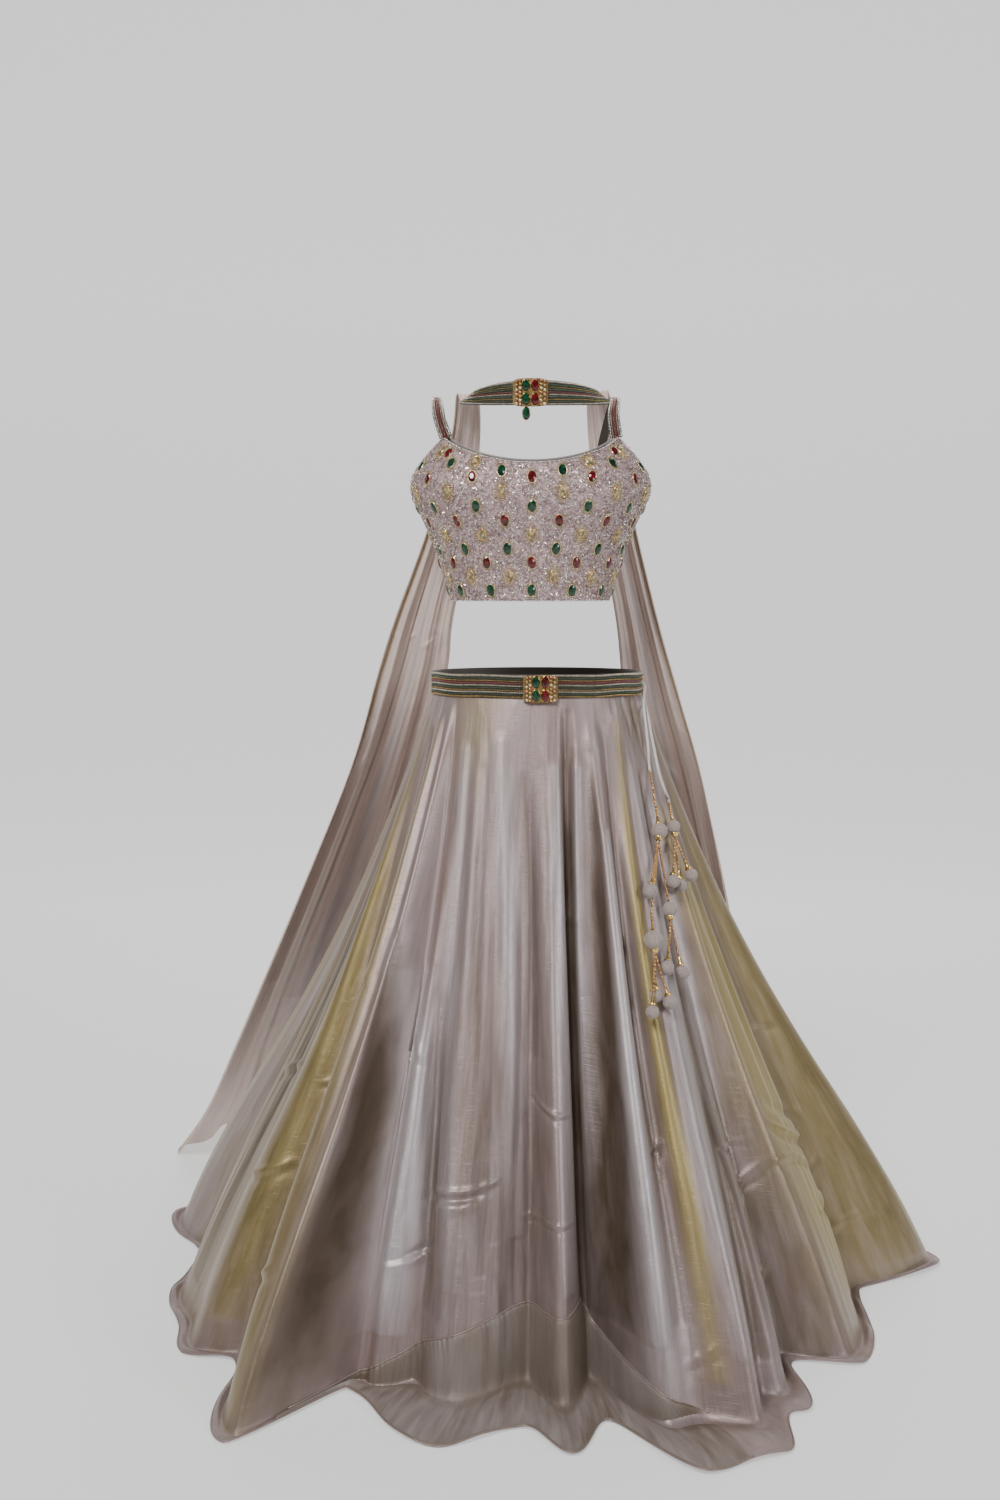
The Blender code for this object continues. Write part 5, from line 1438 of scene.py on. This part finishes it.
def make_strap(name, side):
    knots = strap_route(side)
    steps = np.linspace(0, len(knots) - 1, 60)
    line = np.stack([smooth_through(range(len(knots)), knots[:, k], steps) for k in range(3)], axis=-1)
    tangent = unit(np.gradient(line, axis=0))
    across = unit(np.array([1.0, 0.0, 0.0]) - tangent * tangent[:, :1])
    out = np.cross(tangent, across)
    away = np.sign(out[:, 2] + np.abs(line[:, 1]) * out[:, 1] * np.sign(line[:, 1]) * 20)
    out = out * np.where(away == 0, 1, away)[:, None]
    wide = STRAP_WIDTH * np.interp(
        np.linspace(0, 1, len(line)), (0, 0.2, 0.42, 1), (1.45, 1.35, 1.0, 1.0)
    )[:, None]
    places = [line + across * wide * share + out * 0.0002 for share in (-0.5, -0.25, 0, 0.25, 0.5)]
    points = np.stack(places, axis=1)
    ribbon = sheet_object(name + "_ribbon", points, cloth_metres(points), None, BELT_CLOTH)
    thicken(ribbon, CHOLI_WALL - 0.0010, 0.0)
    total = sum(row.height for row in STRAP_ROWS)
    edge = -0.5
    rows = []
    for row in STRAP_ROWS:
        part = row.height / total
        middle = line + across * wide * (edge + part / 2) + out * (CHOLI_WALL / 2 + 0.0003)
        found = bead_row(middle, out, 0.0021, STRAP_WIDTH * part, 0.0028, 0.0024)
        size = found[4].copy()
        size[:, 1] *= np.interp(
            np.linspace(0, 1, len(size)), np.linspace(0, 1, len(line)), wide[:, 0] / STRAP_WIDTH
        )
        rows.append(found[:4] + (size,))
        edge += part
    beads = joined_rows(name + "_beads", rows, [row.colour for row in STRAP_ROWS])
    for piece in (ribbon, beads):
        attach(piece, "root")
    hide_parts(name)
    declare_sheet(points)


def make_piping():
    """The thin grey roll along the neckline."""
    degs = np.linspace(-STRAP_DEG + 9, STRAP_DEG - 9, 90)
    height = choli_top(degs) + 0.0029
    line = choli_place(degs, height)
    made = tube_object("choli_neck_piping_roll", line, 0.0019, 8, PIPING_CLOTH)
    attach(made, "root")
    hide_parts("choli_neck_piping")


# Dupatta

NECK_ROWS = (
    BeadRow("old_silver", 0.0048),
    BeadRow("green", 0.0040),
    BeadRow("old_gold", 0.0026),
    BeadRow("green", 0.0040),
    BeadRow("red", 0.0034),
    BeadRow("old_silver", 0.0030),
    BeadRow("green", 0.0042),
    BeadRow("old_gold", 0.0028),
    BeadRow("green", 0.0032),
    BeadRow("old_silver", 0.0036),
)


def neck_band_frame(share):
    """Middle, upward and outward directions and height of the band at shares from -1 to 1."""
    x = NECK_BAND_SHIFT + NECK_BAND_HALF_SPAN * np.sin(share * math.pi / 2)
    y = -NECK_BAND_FRONT * np.maximum(np.cos(share * math.pi / 2), 0) ** NECK_BAND_ROUNDING
    z = NECK_BAND_MIDDLE + (NECK_BAND_END - NECK_BAND_MIDDLE) * np.abs(share) ** 2
    line = np.stack([x, y, z], axis=-1)
    tangent = unit(np.gradient(line, axis=0))
    flat = unit(np.cross((0, 0, 1.0), tangent))
    flat = flat * np.where((flat * line * (1, 1, 0)).sum(axis=-1, keepdims=True) > 0, -1, 1)
    lean = np.radians(NECK_BAND_LEAN_DEG * np.abs(share) ** 2)[:, None]
    up = flat * np.sin(lean) + np.array([0, 0, 1.0]) * np.cos(lean)
    out = unit(np.cross(tangent, up))
    out = out * np.where((out * flat).sum(axis=-1, keepdims=True) > 0, -1, 1)
    tall = NECK_BAND_HEIGHT + (NECK_BAND_END_HEIGHT - NECK_BAND_HEIGHT) * np.abs(share) ** 1.5
    return line, up, out, tall


def make_neck_band():
    share = np.linspace(-1, 1, 160)
    line, up, out, tall = neck_band_frame(share)
    parts = np.linspace(0.5, -0.5, 9)
    points = np.stack([line + up * (tall * part)[:, None] for part in parts], axis=1)
    made = sheet_object("dupatta_neck_band_wall", points, cloth_metres(points), None, BELT_CLOTH)
    thicken(made, NECK_BAND_WALL - 0.0010, 0.0)
    total = sum(row.height for row in NECK_ROWS)
    edge = 0.5
    rows = []
    for row in NECK_ROWS:
        part = row.height / total
        middle = line + up * (tall * (edge - part / 2))[:, None] + out * (NECK_BAND_WALL / 2 + 0.0004)
        edge -= part
        tallest = NECK_BAND_HEIGHT * part * 0.86
        found = bead_row(middle, out, 0.0023, tallest, 0.0030, 0.0025)
        size = found[4].copy()
        size[:, 1] *= np.interp(np.linspace(-1, 1, len(size)), share, tall / NECK_BAND_HEIGHT)
        rows.append(found[:4] + (size,))
    beads = joined_rows("dupatta_neck_band_beads", rows, [row.colour for row in NECK_ROWS])
    for piece in (made, beads):
        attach(piece, "root")
    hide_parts("dupatta_neck_band")
    declare_sheet(points)


def fall_place(table, across, down):
    """One hanging end of the dupatta at shares across and down."""
    knots = np.arange(len(table))
    step = down * (len(table) - 1)
    field = {
        name: smooth_through(knots, [getattr(row, name) for row in table], step) for name in Drop._fields
    }
    x = field["outer_x"] + (field["inner_x"] - field["outer_x"]) * across
    y = field["outer_y"] + (field["inner_y"] - field["outer_y"]) * across
    side = math.copysign(1, table[-1].outer_x)
    chord_x = field["inner_x"] - field["outer_x"]
    chord_y = field["inner_y"] - field["outer_y"]
    chord = np.hypot(chord_x, chord_y)
    out_x = side * chord_y / chord
    out_y = -side * chord_x / chord
    deep = PLEAT_TOP + (PLEAT_HEM - PLEAT_TOP) * np.clip(down, 0, 1) ** 1.3
    wave = deep * np.sin(2 * math.pi * PLEATS * (across + 0.06 * np.sin(2 * math.pi * across)))
    fine = 0.07 * deep * np.sin(2 * math.pi * 7 * across + 3 * np.sin(down * 6))
    fine = fine + 0.0004 * np.sin(2 * math.pi * 13 * across + 5 * down) * np.clip(down * 9, 0, 1)
    push = field["bow"] * np.sin(math.pi * np.clip(across, 0, 1)) + wave + fine
    height = field["height"] - WAIST_HEIGHT
    return np.stack(np.broadcast_arrays(x + out_x * push, y + out_y * push, height), axis=-1)


# Bands of painted light across a fall, from its outer edge: share across, half width, and gold, brown, pale.
# Brown is painted shade, pale a painted highlight, and gold partly the shot weave and partly painted sheen.
FallTone = namedtuple("FallTone", "across half_width gold brown pale")
FALL_TONES = (
    FallTone(0.03, 0.050, 0.70, 0.0, 0.0),
    FallTone(0.14, 0.040, 0.0, 0.15, 0.3),
    FallTone(0.26, 0.050, 0.35, 0.0, 0.2),
    FallTone(0.38, 0.025, 0.0, 0.55, 0.0),
    FallTone(0.50, 0.060, 0.0, 0.0, 0.6),
    FallTone(0.64, 0.035, 0.1, 0.35, 0.0),
    FallTone(0.76, 0.060, 0.25, 0.0, 0.4),
    FallTone(0.88, 0.030, 0.0, 0.40, 0.0),
    FallTone(0.97, 0.040, 0.30, 0.0, 0.3),
)


def make_fall(name, table, seed):
    across, down = np.meshgrid(np.linspace(0, 1, 150), np.linspace(0, 1, 300) ** 0.9, indexing="ij")
    points = fall_place(table, across, down)
    points[:, 0, 1] = np.maximum(points[:, 0, 1], 0.0004)
    random = np.random.default_rng(seed)
    crinkle = np.zeros(across.shape)
    for _ in range(40):
        u, v = random.uniform(0.05, 0.95), random.uniform(0.25, 0.95)
        turn = random.uniform(-0.5, 0.5)
        du, dv = (across - u) * 0.35, (down - v) * 1.5
        run = du * math.cos(turn) + dv * math.sin(turn)
        off = dv * math.cos(turn) - du * math.sin(turn)
        crinkle += random.uniform(0.001, 0.0028) * bell(off / 0.007) * bell(run / random.uniform(0.02, 0.05))
    points[..., 1] -= crinkle
    points[..., 2] = np.maximum(points[..., 2], FLOOR + 0.0015)
    # Painted shade, painted highlight and gold sheen in bands across the fall.
    tone = np.zeros(points.shape)
    for band in FALL_TONES:
        shift = band.across + 0.03 * np.sin(down * 5 + band.across * 9)
        shape = bell((across - shift) / band.half_width)
        for k, amount in enumerate((band.gold, band.brown, band.pale)):
            tone[..., k] = np.maximum(tone[..., k], amount * shape)
    grain = np.stack([across * 0.5, down * 1.7], axis=-1)
    made = sheet_object(name + "_cloth", points, grain, tone, FALL_CLOTH)
    edges = []
    for label, line in (("outer", points[0]), ("inner", points[-1]), ("end", points[:, -1])):
        edge = tube_object(f"{name}_{label}_edge", line, 0.0012, 6, FALL_CLOTH)
        add_cloth_data(
            edge, np.zeros((len(edge.data.vertices), 2)), np.full((len(edge.data.vertices), 3), 0.2)
        )
        edges.append(edge)
    for piece in [made] + edges:
        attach(piece, "root")
    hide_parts(name)
    declare_sheet(points)


# Brooches

def node_middle(node):
    low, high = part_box(node)
    return (np.array(low) + np.array(high)) / 2, np.array(high) - np.array(low)


FORWARD = np.array([0.0, -1.0, 0.0])
SIDE = np.array([1.0, 0.0, 0.0])
UP = np.array([0.0, 0.0, 1.0])


def facing_copies(name, template, centres, sizes, materials, which, smooth=True):
    count = len(centres)
    return joined_copies(
        name, template, centres, np.tile(SIDE, (count, 1)), np.tile(UP, (count, 1)),
        np.tile(FORWARD, (count, 1)), sizes, materials, which, smooth
    )


def make_brooch(prefix, stones):
    """Set stones in rims, with columns of copper, champagne and old gold beads at both sides of the plate."""
    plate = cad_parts[prefix + "_brooch"]
    plate.data.materials.clear()
    plate.data.materials.append(BEADS["old_gold"])
    centre, size = node_middle(prefix + "_brooch")
    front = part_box(prefix + "_brooch")[0].y
    centres, sizes, which = [], [], []
    for node, colour in stones:
        middle, extent = node_middle(node)
        centres.append((middle[0], middle[1] + extent[1] / 2, middle[2]))
        sizes.append((extent[0] / 2 * 1.0, extent[2] / 2 * 0.98, extent[1]))
        which.append(0 if colour == "green" else 1)
    centres = np.array(centres)
    sizes = np.array(sizes)
    domes = facing_copies(
        prefix + "_set_stones", stone_template(16), centres, sizes,
        [STONES["green"], STONES["red"]], which, False
    )
    rims = facing_copies(
        prefix + "_stone_rims", rim_template(20), centres, sizes * [0.93, 0.93, 0.35], [BEADS["gold"]],
        np.zeros(len(centres), dtype=int)
    )
    beads, radii, colours = [], [], []
    for side in (-1, 1):
        for column, (offset, count) in enumerate(((0.60, 7), (0.80, 6))):
            for k in range(count):
                height = (k / (count - 1) - 0.5) * size[2] * (0.86 - 0.05 * column)
                beads.append((centre[0] + side * size[0] / 2 * offset, front - 0.0008, centre[2] + height))
                radii.append((0.0029, 0.0029, 0.0022) if column == 0 else (0.0026, 0.0030, 0.0020))
                colours.append((k + column) % 3)
    studs = facing_copies(
        prefix + "_studs", sphere_template(8, 5), np.array(beads), np.array(radii),
        [BEADS["copper"], BEADS["champagne"], BEADS["old_gold"]], colours
    )
    for piece in (domes, rims, studs):
        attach(piece, "root")
    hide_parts(*[node for node, _ in stones])


# Tassels and drawstring

Ball = namedtuple("Ball", "x height radius layer")
TASSELS = {
    "tassel_upper_left": (
        Ball(0.188, 0.762, 0.0125, 0),
        (Ball(0.1680, 0.680, 0.0115, 0),),
    ),
    "tassel_upper_right": (
        Ball(0.2130, 0.764, 0.0105, 0),
        (Ball(0.2085, 0.6845, 0.0105, 1), Ball(0.2215, 0.676, 0.0105, 0), Ball(0.2400, 0.689, 0.0105, 0)),
    ),
    "tassel_middle": (
        Ball(0.1990, 0.650, 0.0120, 0),
        (Ball(0.1900, 0.572, 0.0112, 0), Ball(0.2160, 0.560, 0.0112, 0)),
    ),
    "tassel_lower": (
        Ball(0.1690, 0.616, 0.0145, 1),
        (Ball(0.1640, 0.5185, 0.0100, 1), Ball(0.1710, 0.536, 0.0100, 0), Ball(0.1925, 0.526, 0.0110, 0)),
    ),
}
LINKS = {"tassel_upper_left": ("tassel_middle", "tassel_lower")}
HeadStrand = namedtuple("HeadStrand", "length aside")
HEAD_STRANDS = {
    "tassel_upper_left": HeadStrand(0.060, -0.010),
    "tassel_upper_right": HeadStrand(0.008, -0.003),
}
SHORT_STRAND = HeadStrand(0.004, 0.0)
STRAND_RADIUS = 0.0016
CONE_LENGTH = 0.014
CAP_LENGTH = 0.006
LAYER_STEP = 0.016
TASSEL_CLEARANCE = 0.003
RoutePoint = namedtuple("RoutePoint", "x height")
CORD_ROUTES = {
    "drawstring_left": (
        RoutePoint(0.1700, 0.940),
        RoutePoint(0.1730, 0.910),
        RoutePoint(0.1755, 0.880),
    ),
    "drawstring_right": (
        RoutePoint(0.1770, 0.930),
        RoutePoint(0.1860, 0.880),
        RoutePoint(0.1940, 0.840),
        RoutePoint(0.2040, 0.812),
    ),
}
CORD_TASSEL = {"drawstring_left": "tassel_upper_left", "drawstring_right": "tassel_upper_right"}
CORD_MOUTH_DEGS = {"drawstring_left": BELT_OPENING_DEG - 1.3, "drawstring_right": BELT_OPENING_DEG + 1.3}
CORD_DIAMETER = 0.004
CORD_REACH = 0.0065
CORD_FORWARD_DEG = 2.0
CORD_STEP = 0.011


def skirt_front_y(x, height):
    degs = np.linspace(-88, 94, 729)
    fall = (SKIRT_TOP - (height - WAIST_HEIGHT)) / (SKIRT_TOP - FLOOR)
    places = skirt_surface(degs, np.full_like(degs, np.clip(fall, 0.0, 1.0)))
    order = np.abs(places[:, 0] - x)
    near = places[order < 0.004]
    if len(near) == 0:
        near = places[np.argmin(order)][None, :]
    return near[:, 1].min() - CLOTH / 2


def hang(x, height, radius, layer=0):
    """A place just before the skirt for something of this radius, as in the solids."""
    forward = min(skirt_front_y(x + shift, height) for shift in (-radius, 0.0, radius))
    forward = min(forward, min(skirt_front_y(x, height - drop) for drop in (0.0, radius)))
    return np.array([x, forward - radius - TASSEL_CLEARANCE - layer * LAYER_STEP, height - WAIST_HEIGHT])


def tassel_top(name):
    head = TASSELS[name][0]
    centre = hang(head.x, head.height, head.radius, head.layer)
    strand = HEAD_STRANDS.get(name, SHORT_STRAND)
    rise = head.radius + CONE_LENGTH + strand.length
    above = hang(head.x + strand.aside, head.height + rise, STRAND_RADIUS, head.layer)
    return head, centre, above, unit(above - centre)


def turned_piece(start, end, profile, sides):
    """Points of a turned shape from start to end. profile rows are share along and radius."""
    start, end = np.asarray(start), np.asarray(end)
    line = np.array([start + (end - start) * share for share, _ in profile])
    return tube_points(line, [radius for _, radius in profile], sides, up=(0.0, 1.0, 0.1))


def ball_rows(radius, rings=14):
    turns = np.linspace(0.02, math.pi - 0.02, rings)
    return [(0.5 - 0.5 * math.cos(t), radius * math.sin(t)) for t in turns]


class TurnedParts:
    """Collects turned shapes with their materials for one joined mesh."""

    def __init__(self):
        self.points = []
        self.faces = []
        self.index = []
        self.count = 0

    def add(self, points, slot):
        rings, sides = points.shape[:2]
        faces = tube_faces(rings, sides, self.count)
        self.points.append(points.reshape(-1, 3))
        self.faces.append(faces)
        self.index.append(np.full(len(faces), slot))
        self.count += rings * sides

    def build(self, name, materials):
        faces = [np.concatenate(self.faces)]
        return mesh_object(name, np.concatenate(self.points), faces, materials, np.concatenate(self.index))


def bead_strand(start, end, step=0.0030):
    """Bead centres down a strand: gold and copper by turns."""
    places, tangent, _ = even_steps(np.array([start, end]), step)
    return places, tangent


def make_tassels():
    metal = TurnedParts()
    cloth = TurnedParts()
    bead_places, bead_tangents = [], []

    def strand(start, end):
        places, tangent = bead_strand(start, end)
        bead_places.append(places)
        bead_tangents.append(tangent)

    def cone(tip, base, wide):
        metal.add(
            turned_piece(
                tip, base, ((0, 0.0012), (0.1, 0.0018), (0.6, 0.0030), (0.92, wide), (1.0, wide * 0.9)), 14
            ),
            0,
        )

    for name, (head, balls) in TASSELS.items():
        _, centre, above, up = tassel_top(name)
        places = [hang(ball.x, ball.height, ball.radius, ball.layer) for ball in balls]
        down = unit(sum(place - centre for place in places))
        cloth.add(
            turned_piece(
                centre + up * head.radius, centre - up * head.radius, ball_rows(head.radius, 18), 24
            ),
            0,
        )
        cone(centre + up * (head.radius + CONE_LENGTH), centre + up * (head.radius * 0.93), 0.0048)
        if np.linalg.norm(above - centre) > head.radius + CONE_LENGTH + 0.006:
            strand(above, centre + up * (head.radius + CONE_LENGTH))
        cap = centre + down * head.radius * 0.90
        metal.add(
            turned_piece(
                cap, cap + down * CAP_LENGTH,
                ((0, 0.0062), (0.25, 0.0066), (0.5, 0.0054), (1.0, 0.0040)), 16
            ),
            0,
        )
        root = cap + down * CAP_LENGTH
        targets = [(place, ball.radius) for ball, place in zip(balls, places)]
        for place, radius in targets:
            direction = unit(place - root)
            neck = place - direction * (radius * 0.93)
            tip = neck - direction * CONE_LENGTH
            strand(root, tip)
            cone(tip, neck, 0.0060)
            cloth.add(
                turned_piece(place - direction * radius, place + direction * radius, ball_rows(radius), 20),
                0,
            )
        for other in LINKS.get(name, ()):
            _, _, other_top, _ = tassel_top(other)
            strand(root, other_top)

    centres = np.concatenate(bead_places)
    tangents = np.concatenate(bead_tangents)
    side = unit(np.cross(tangents, np.array([0.0, 1.0, 0.0])))
    front = np.cross(side, tangents)
    which = np.arange(len(centres)) % 2
    beads = joined_copies(
        "tassel_beads", sphere_template(8, 3), centres, side, front, tangents, (0.0022, 0.0022, 0.0016),
        [BEADS["gold"], BEADS["copper"]], which
    )
    balls = cloth.build("tassel_balls", [TASSEL_CLOTH])
    caps = metal.build("tassel_caps", [BEADS["gold"]])
    for piece in (balls, beads, caps):
        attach(piece, "root")
    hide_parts(*TASSELS)


def make_cord(name):
    """One end of the drawstring: a flat white tape from the belt's opening to its tassel."""
    _, _, top_of_tassel, up = tassel_top(CORD_TASSEL[name])
    mouth = math.radians(CORD_MOUTH_DEGS[name])
    lower = math.radians(CORD_MOUTH_DEGS[name] - CORD_FORWARD_DEG)
    knots = [
        (*belt_ring(mouth, 0.0), 0.0),
        (*belt_ring(mouth, CORD_REACH), -CORD_DIAMETER),
        (*belt_ring(lower, CORD_REACH), -BELT_HEIGHT / 2),
    ]
    knots += [tuple(hang(point.x, point.height, CORD_DIAMETER)) for point in CORD_ROUTES[name]]
    knots.append(tuple(top_of_tassel + up * CORD_STEP))
    knots.append(tuple(top_of_tassel + up * 0.0006))
    knots = np.array(knots)
    lengths = np.concatenate([[0], np.cumsum(np.linalg.norm(np.diff(knots, axis=0), axis=1))])
    steps = np.linspace(0, lengths[-1], 80)
    line = np.stack([smooth_through(lengths, knots[:, k], steps) for k in range(3)], axis=-1)
    made = tube_object(name + "_tape", line, CORD_DIAMETER / 2, 12, CORD_CLOTH, up=(0.1, 1.0, 0.0), flat=0.6)
    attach(made, "root")
    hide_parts(name)


# Camera, light and floor

def make_stage():
    """A pale floor that rises in a curve behind the set."""
    turns = np.linspace(0, math.pi / 2, 24)
    back, bend, top = 5.0, 3.0, 14.0
    profile = [(-16.0, 0.0), (-4.0, 0.0)]
    profile += [(back + bend * math.sin(turn), bend * (1 - math.cos(turn))) for turn in turns]
    profile.append((back + bend, top))
    points = np.array([[(x, y, FLOOR + z) for y, z in profile] for x in (-24.0, 24.0)])
    mat, nodes, links, shader = new_material("stage_grey", FLOOR_GREY, 0.95)
    shader.inputs["Emission Color"].default_value = (1.0, 1.0, 1.0, 1.0)
    place = add_node(nodes, "ShaderNodeTexCoord")
    split = add_node(nodes, "ShaderNodeSeparateXYZ")
    links.new(place.outputs["Object"], split.inputs[0])
    glow = ranged(nodes, links, split.outputs["Y"], -2.0, 3.0, FLOOR_GLOW * 0.50, FLOOR_GLOW)
    links.new(glow, shader.inputs["Emission Strength"])
    shader.inputs["Specular IOR Level"].default_value = 0.0
    floor = mesh_object("stage_floor", points.reshape(-1, 3), [grid_faces(2, len(profile))], [mat])


def add_area_light(name, place, target, size, energy, colour):
    light = bpy.data.lights.new(name, "AREA")
    light.size = size
    light.energy = energy
    light.color = colour
    made = bpy.data.objects.new(name, light)
    made.location = place
    aim = np.array(target) - np.array(place)
    made.rotation_euler = (
        math.atan2(math.hypot(aim[0], aim[1]), -aim[2]),
        0.0,
        math.atan2(aim[1], aim[0]) - math.pi / 2,
    )
    bpy.context.scene.collection.objects.link(made)


def make_lights():
    add_area_light("key_light", (-1.0, -2.3, 2.2), (0, 0, 0.2), 1.0, 120.0, (1.0, 0.985, 0.96))
    add_area_light("fill_light", (2.6, -2.4, 1.0), (0, 0, -0.3), 1.2, 50.0, (0.96, 0.98, 1.0))
    add_area_light("back_light", (0.4, 2.6, 2.4), (0, 0, 0.0), 1.8, 45.0, (1.0, 1.0, 1.0))
    world = bpy.context.scene.world or bpy.data.worlds.new("world")
    bpy.context.scene.world = world
    world.use_nodes = True
    background = world.node_tree.nodes["Background"]
    background.inputs["Color"].default_value = (1.0, 1.0, 1.0, 1.0)
    background.inputs["Strength"].default_value = 0.18


def make_camera():
    camera = bpy.data.cameras.new("photo_camera")
    camera.lens = CAMERA_LENS_MM
    camera.sensor_width = 36.0
    camera.clip_end = 100.0
    made = bpy.data.objects.new("photo_camera", camera)
    made.location = CAMERA_PLACE
    made.rotation_euler = (math.radians(90 - CAMERA_PITCH_DEG), 0.0, 0.0)
    bpy.context.scene.collection.objects.link(made)
    bpy.context.scene.camera = made


def main():
    make_camera()
    for cord in CORD_ROUTES:
        make_cord(cord)
    make_skirt(
        "skirt_front_cloth", np.linspace(-SIDE_SEAM_DEG, SIDE_SEAM_DEG, 481), skirt_along(62, 98, 18),
        "skirt_front", CREASES
    )
    make_skirt(
        "skirt_back_cloth", np.linspace(SIDE_SEAM_DEG, 360 - SIDE_SEAM_DEG, 241), skirt_along(60, 70, 12),
        "skirt_back", BACK_CREASES
    )
    make_hem_band()
    make_belt()
    make_brooch(
        "belt",
        (
            ("belt_stone_1", "green"), ("belt_stone_2", "red"),
            ("belt_stone_3", "green"), ("belt_stone_4", "red"),
        ),
    )
    make_choli_panel("choli_front_cloth", -CHOLI_SIDE_DEG, CHOLI_SIDE_DEG, 200, 70, 8400, 3)
    make_choli_panel("choli_back_cloth", CHOLI_SIDE_DEG, 360 - CHOLI_SIDE_DEG, 120, 50, 4500, 5)
    make_strap("choli_strap_right", -1)
    make_strap("choli_strap_left", 1)
    make_piping()
    make_neck_band()
    neck_stones = (
        ("neck_stone_1", "green"), ("neck_stone_2", "red"),
        ("neck_stone_3", "green"), ("neck_stone_4", "red"),
    )
    make_brooch("neck", neck_stones + (("neck_drop", "green"),))
    make_fall("dupatta_fall_right", RIGHT_HAND_FALL, 21)
    make_fall("dupatta_fall_left", LEFT_HAND_FALL, 22)
    make_tassels()
    make_stage()
    make_lights()


main()
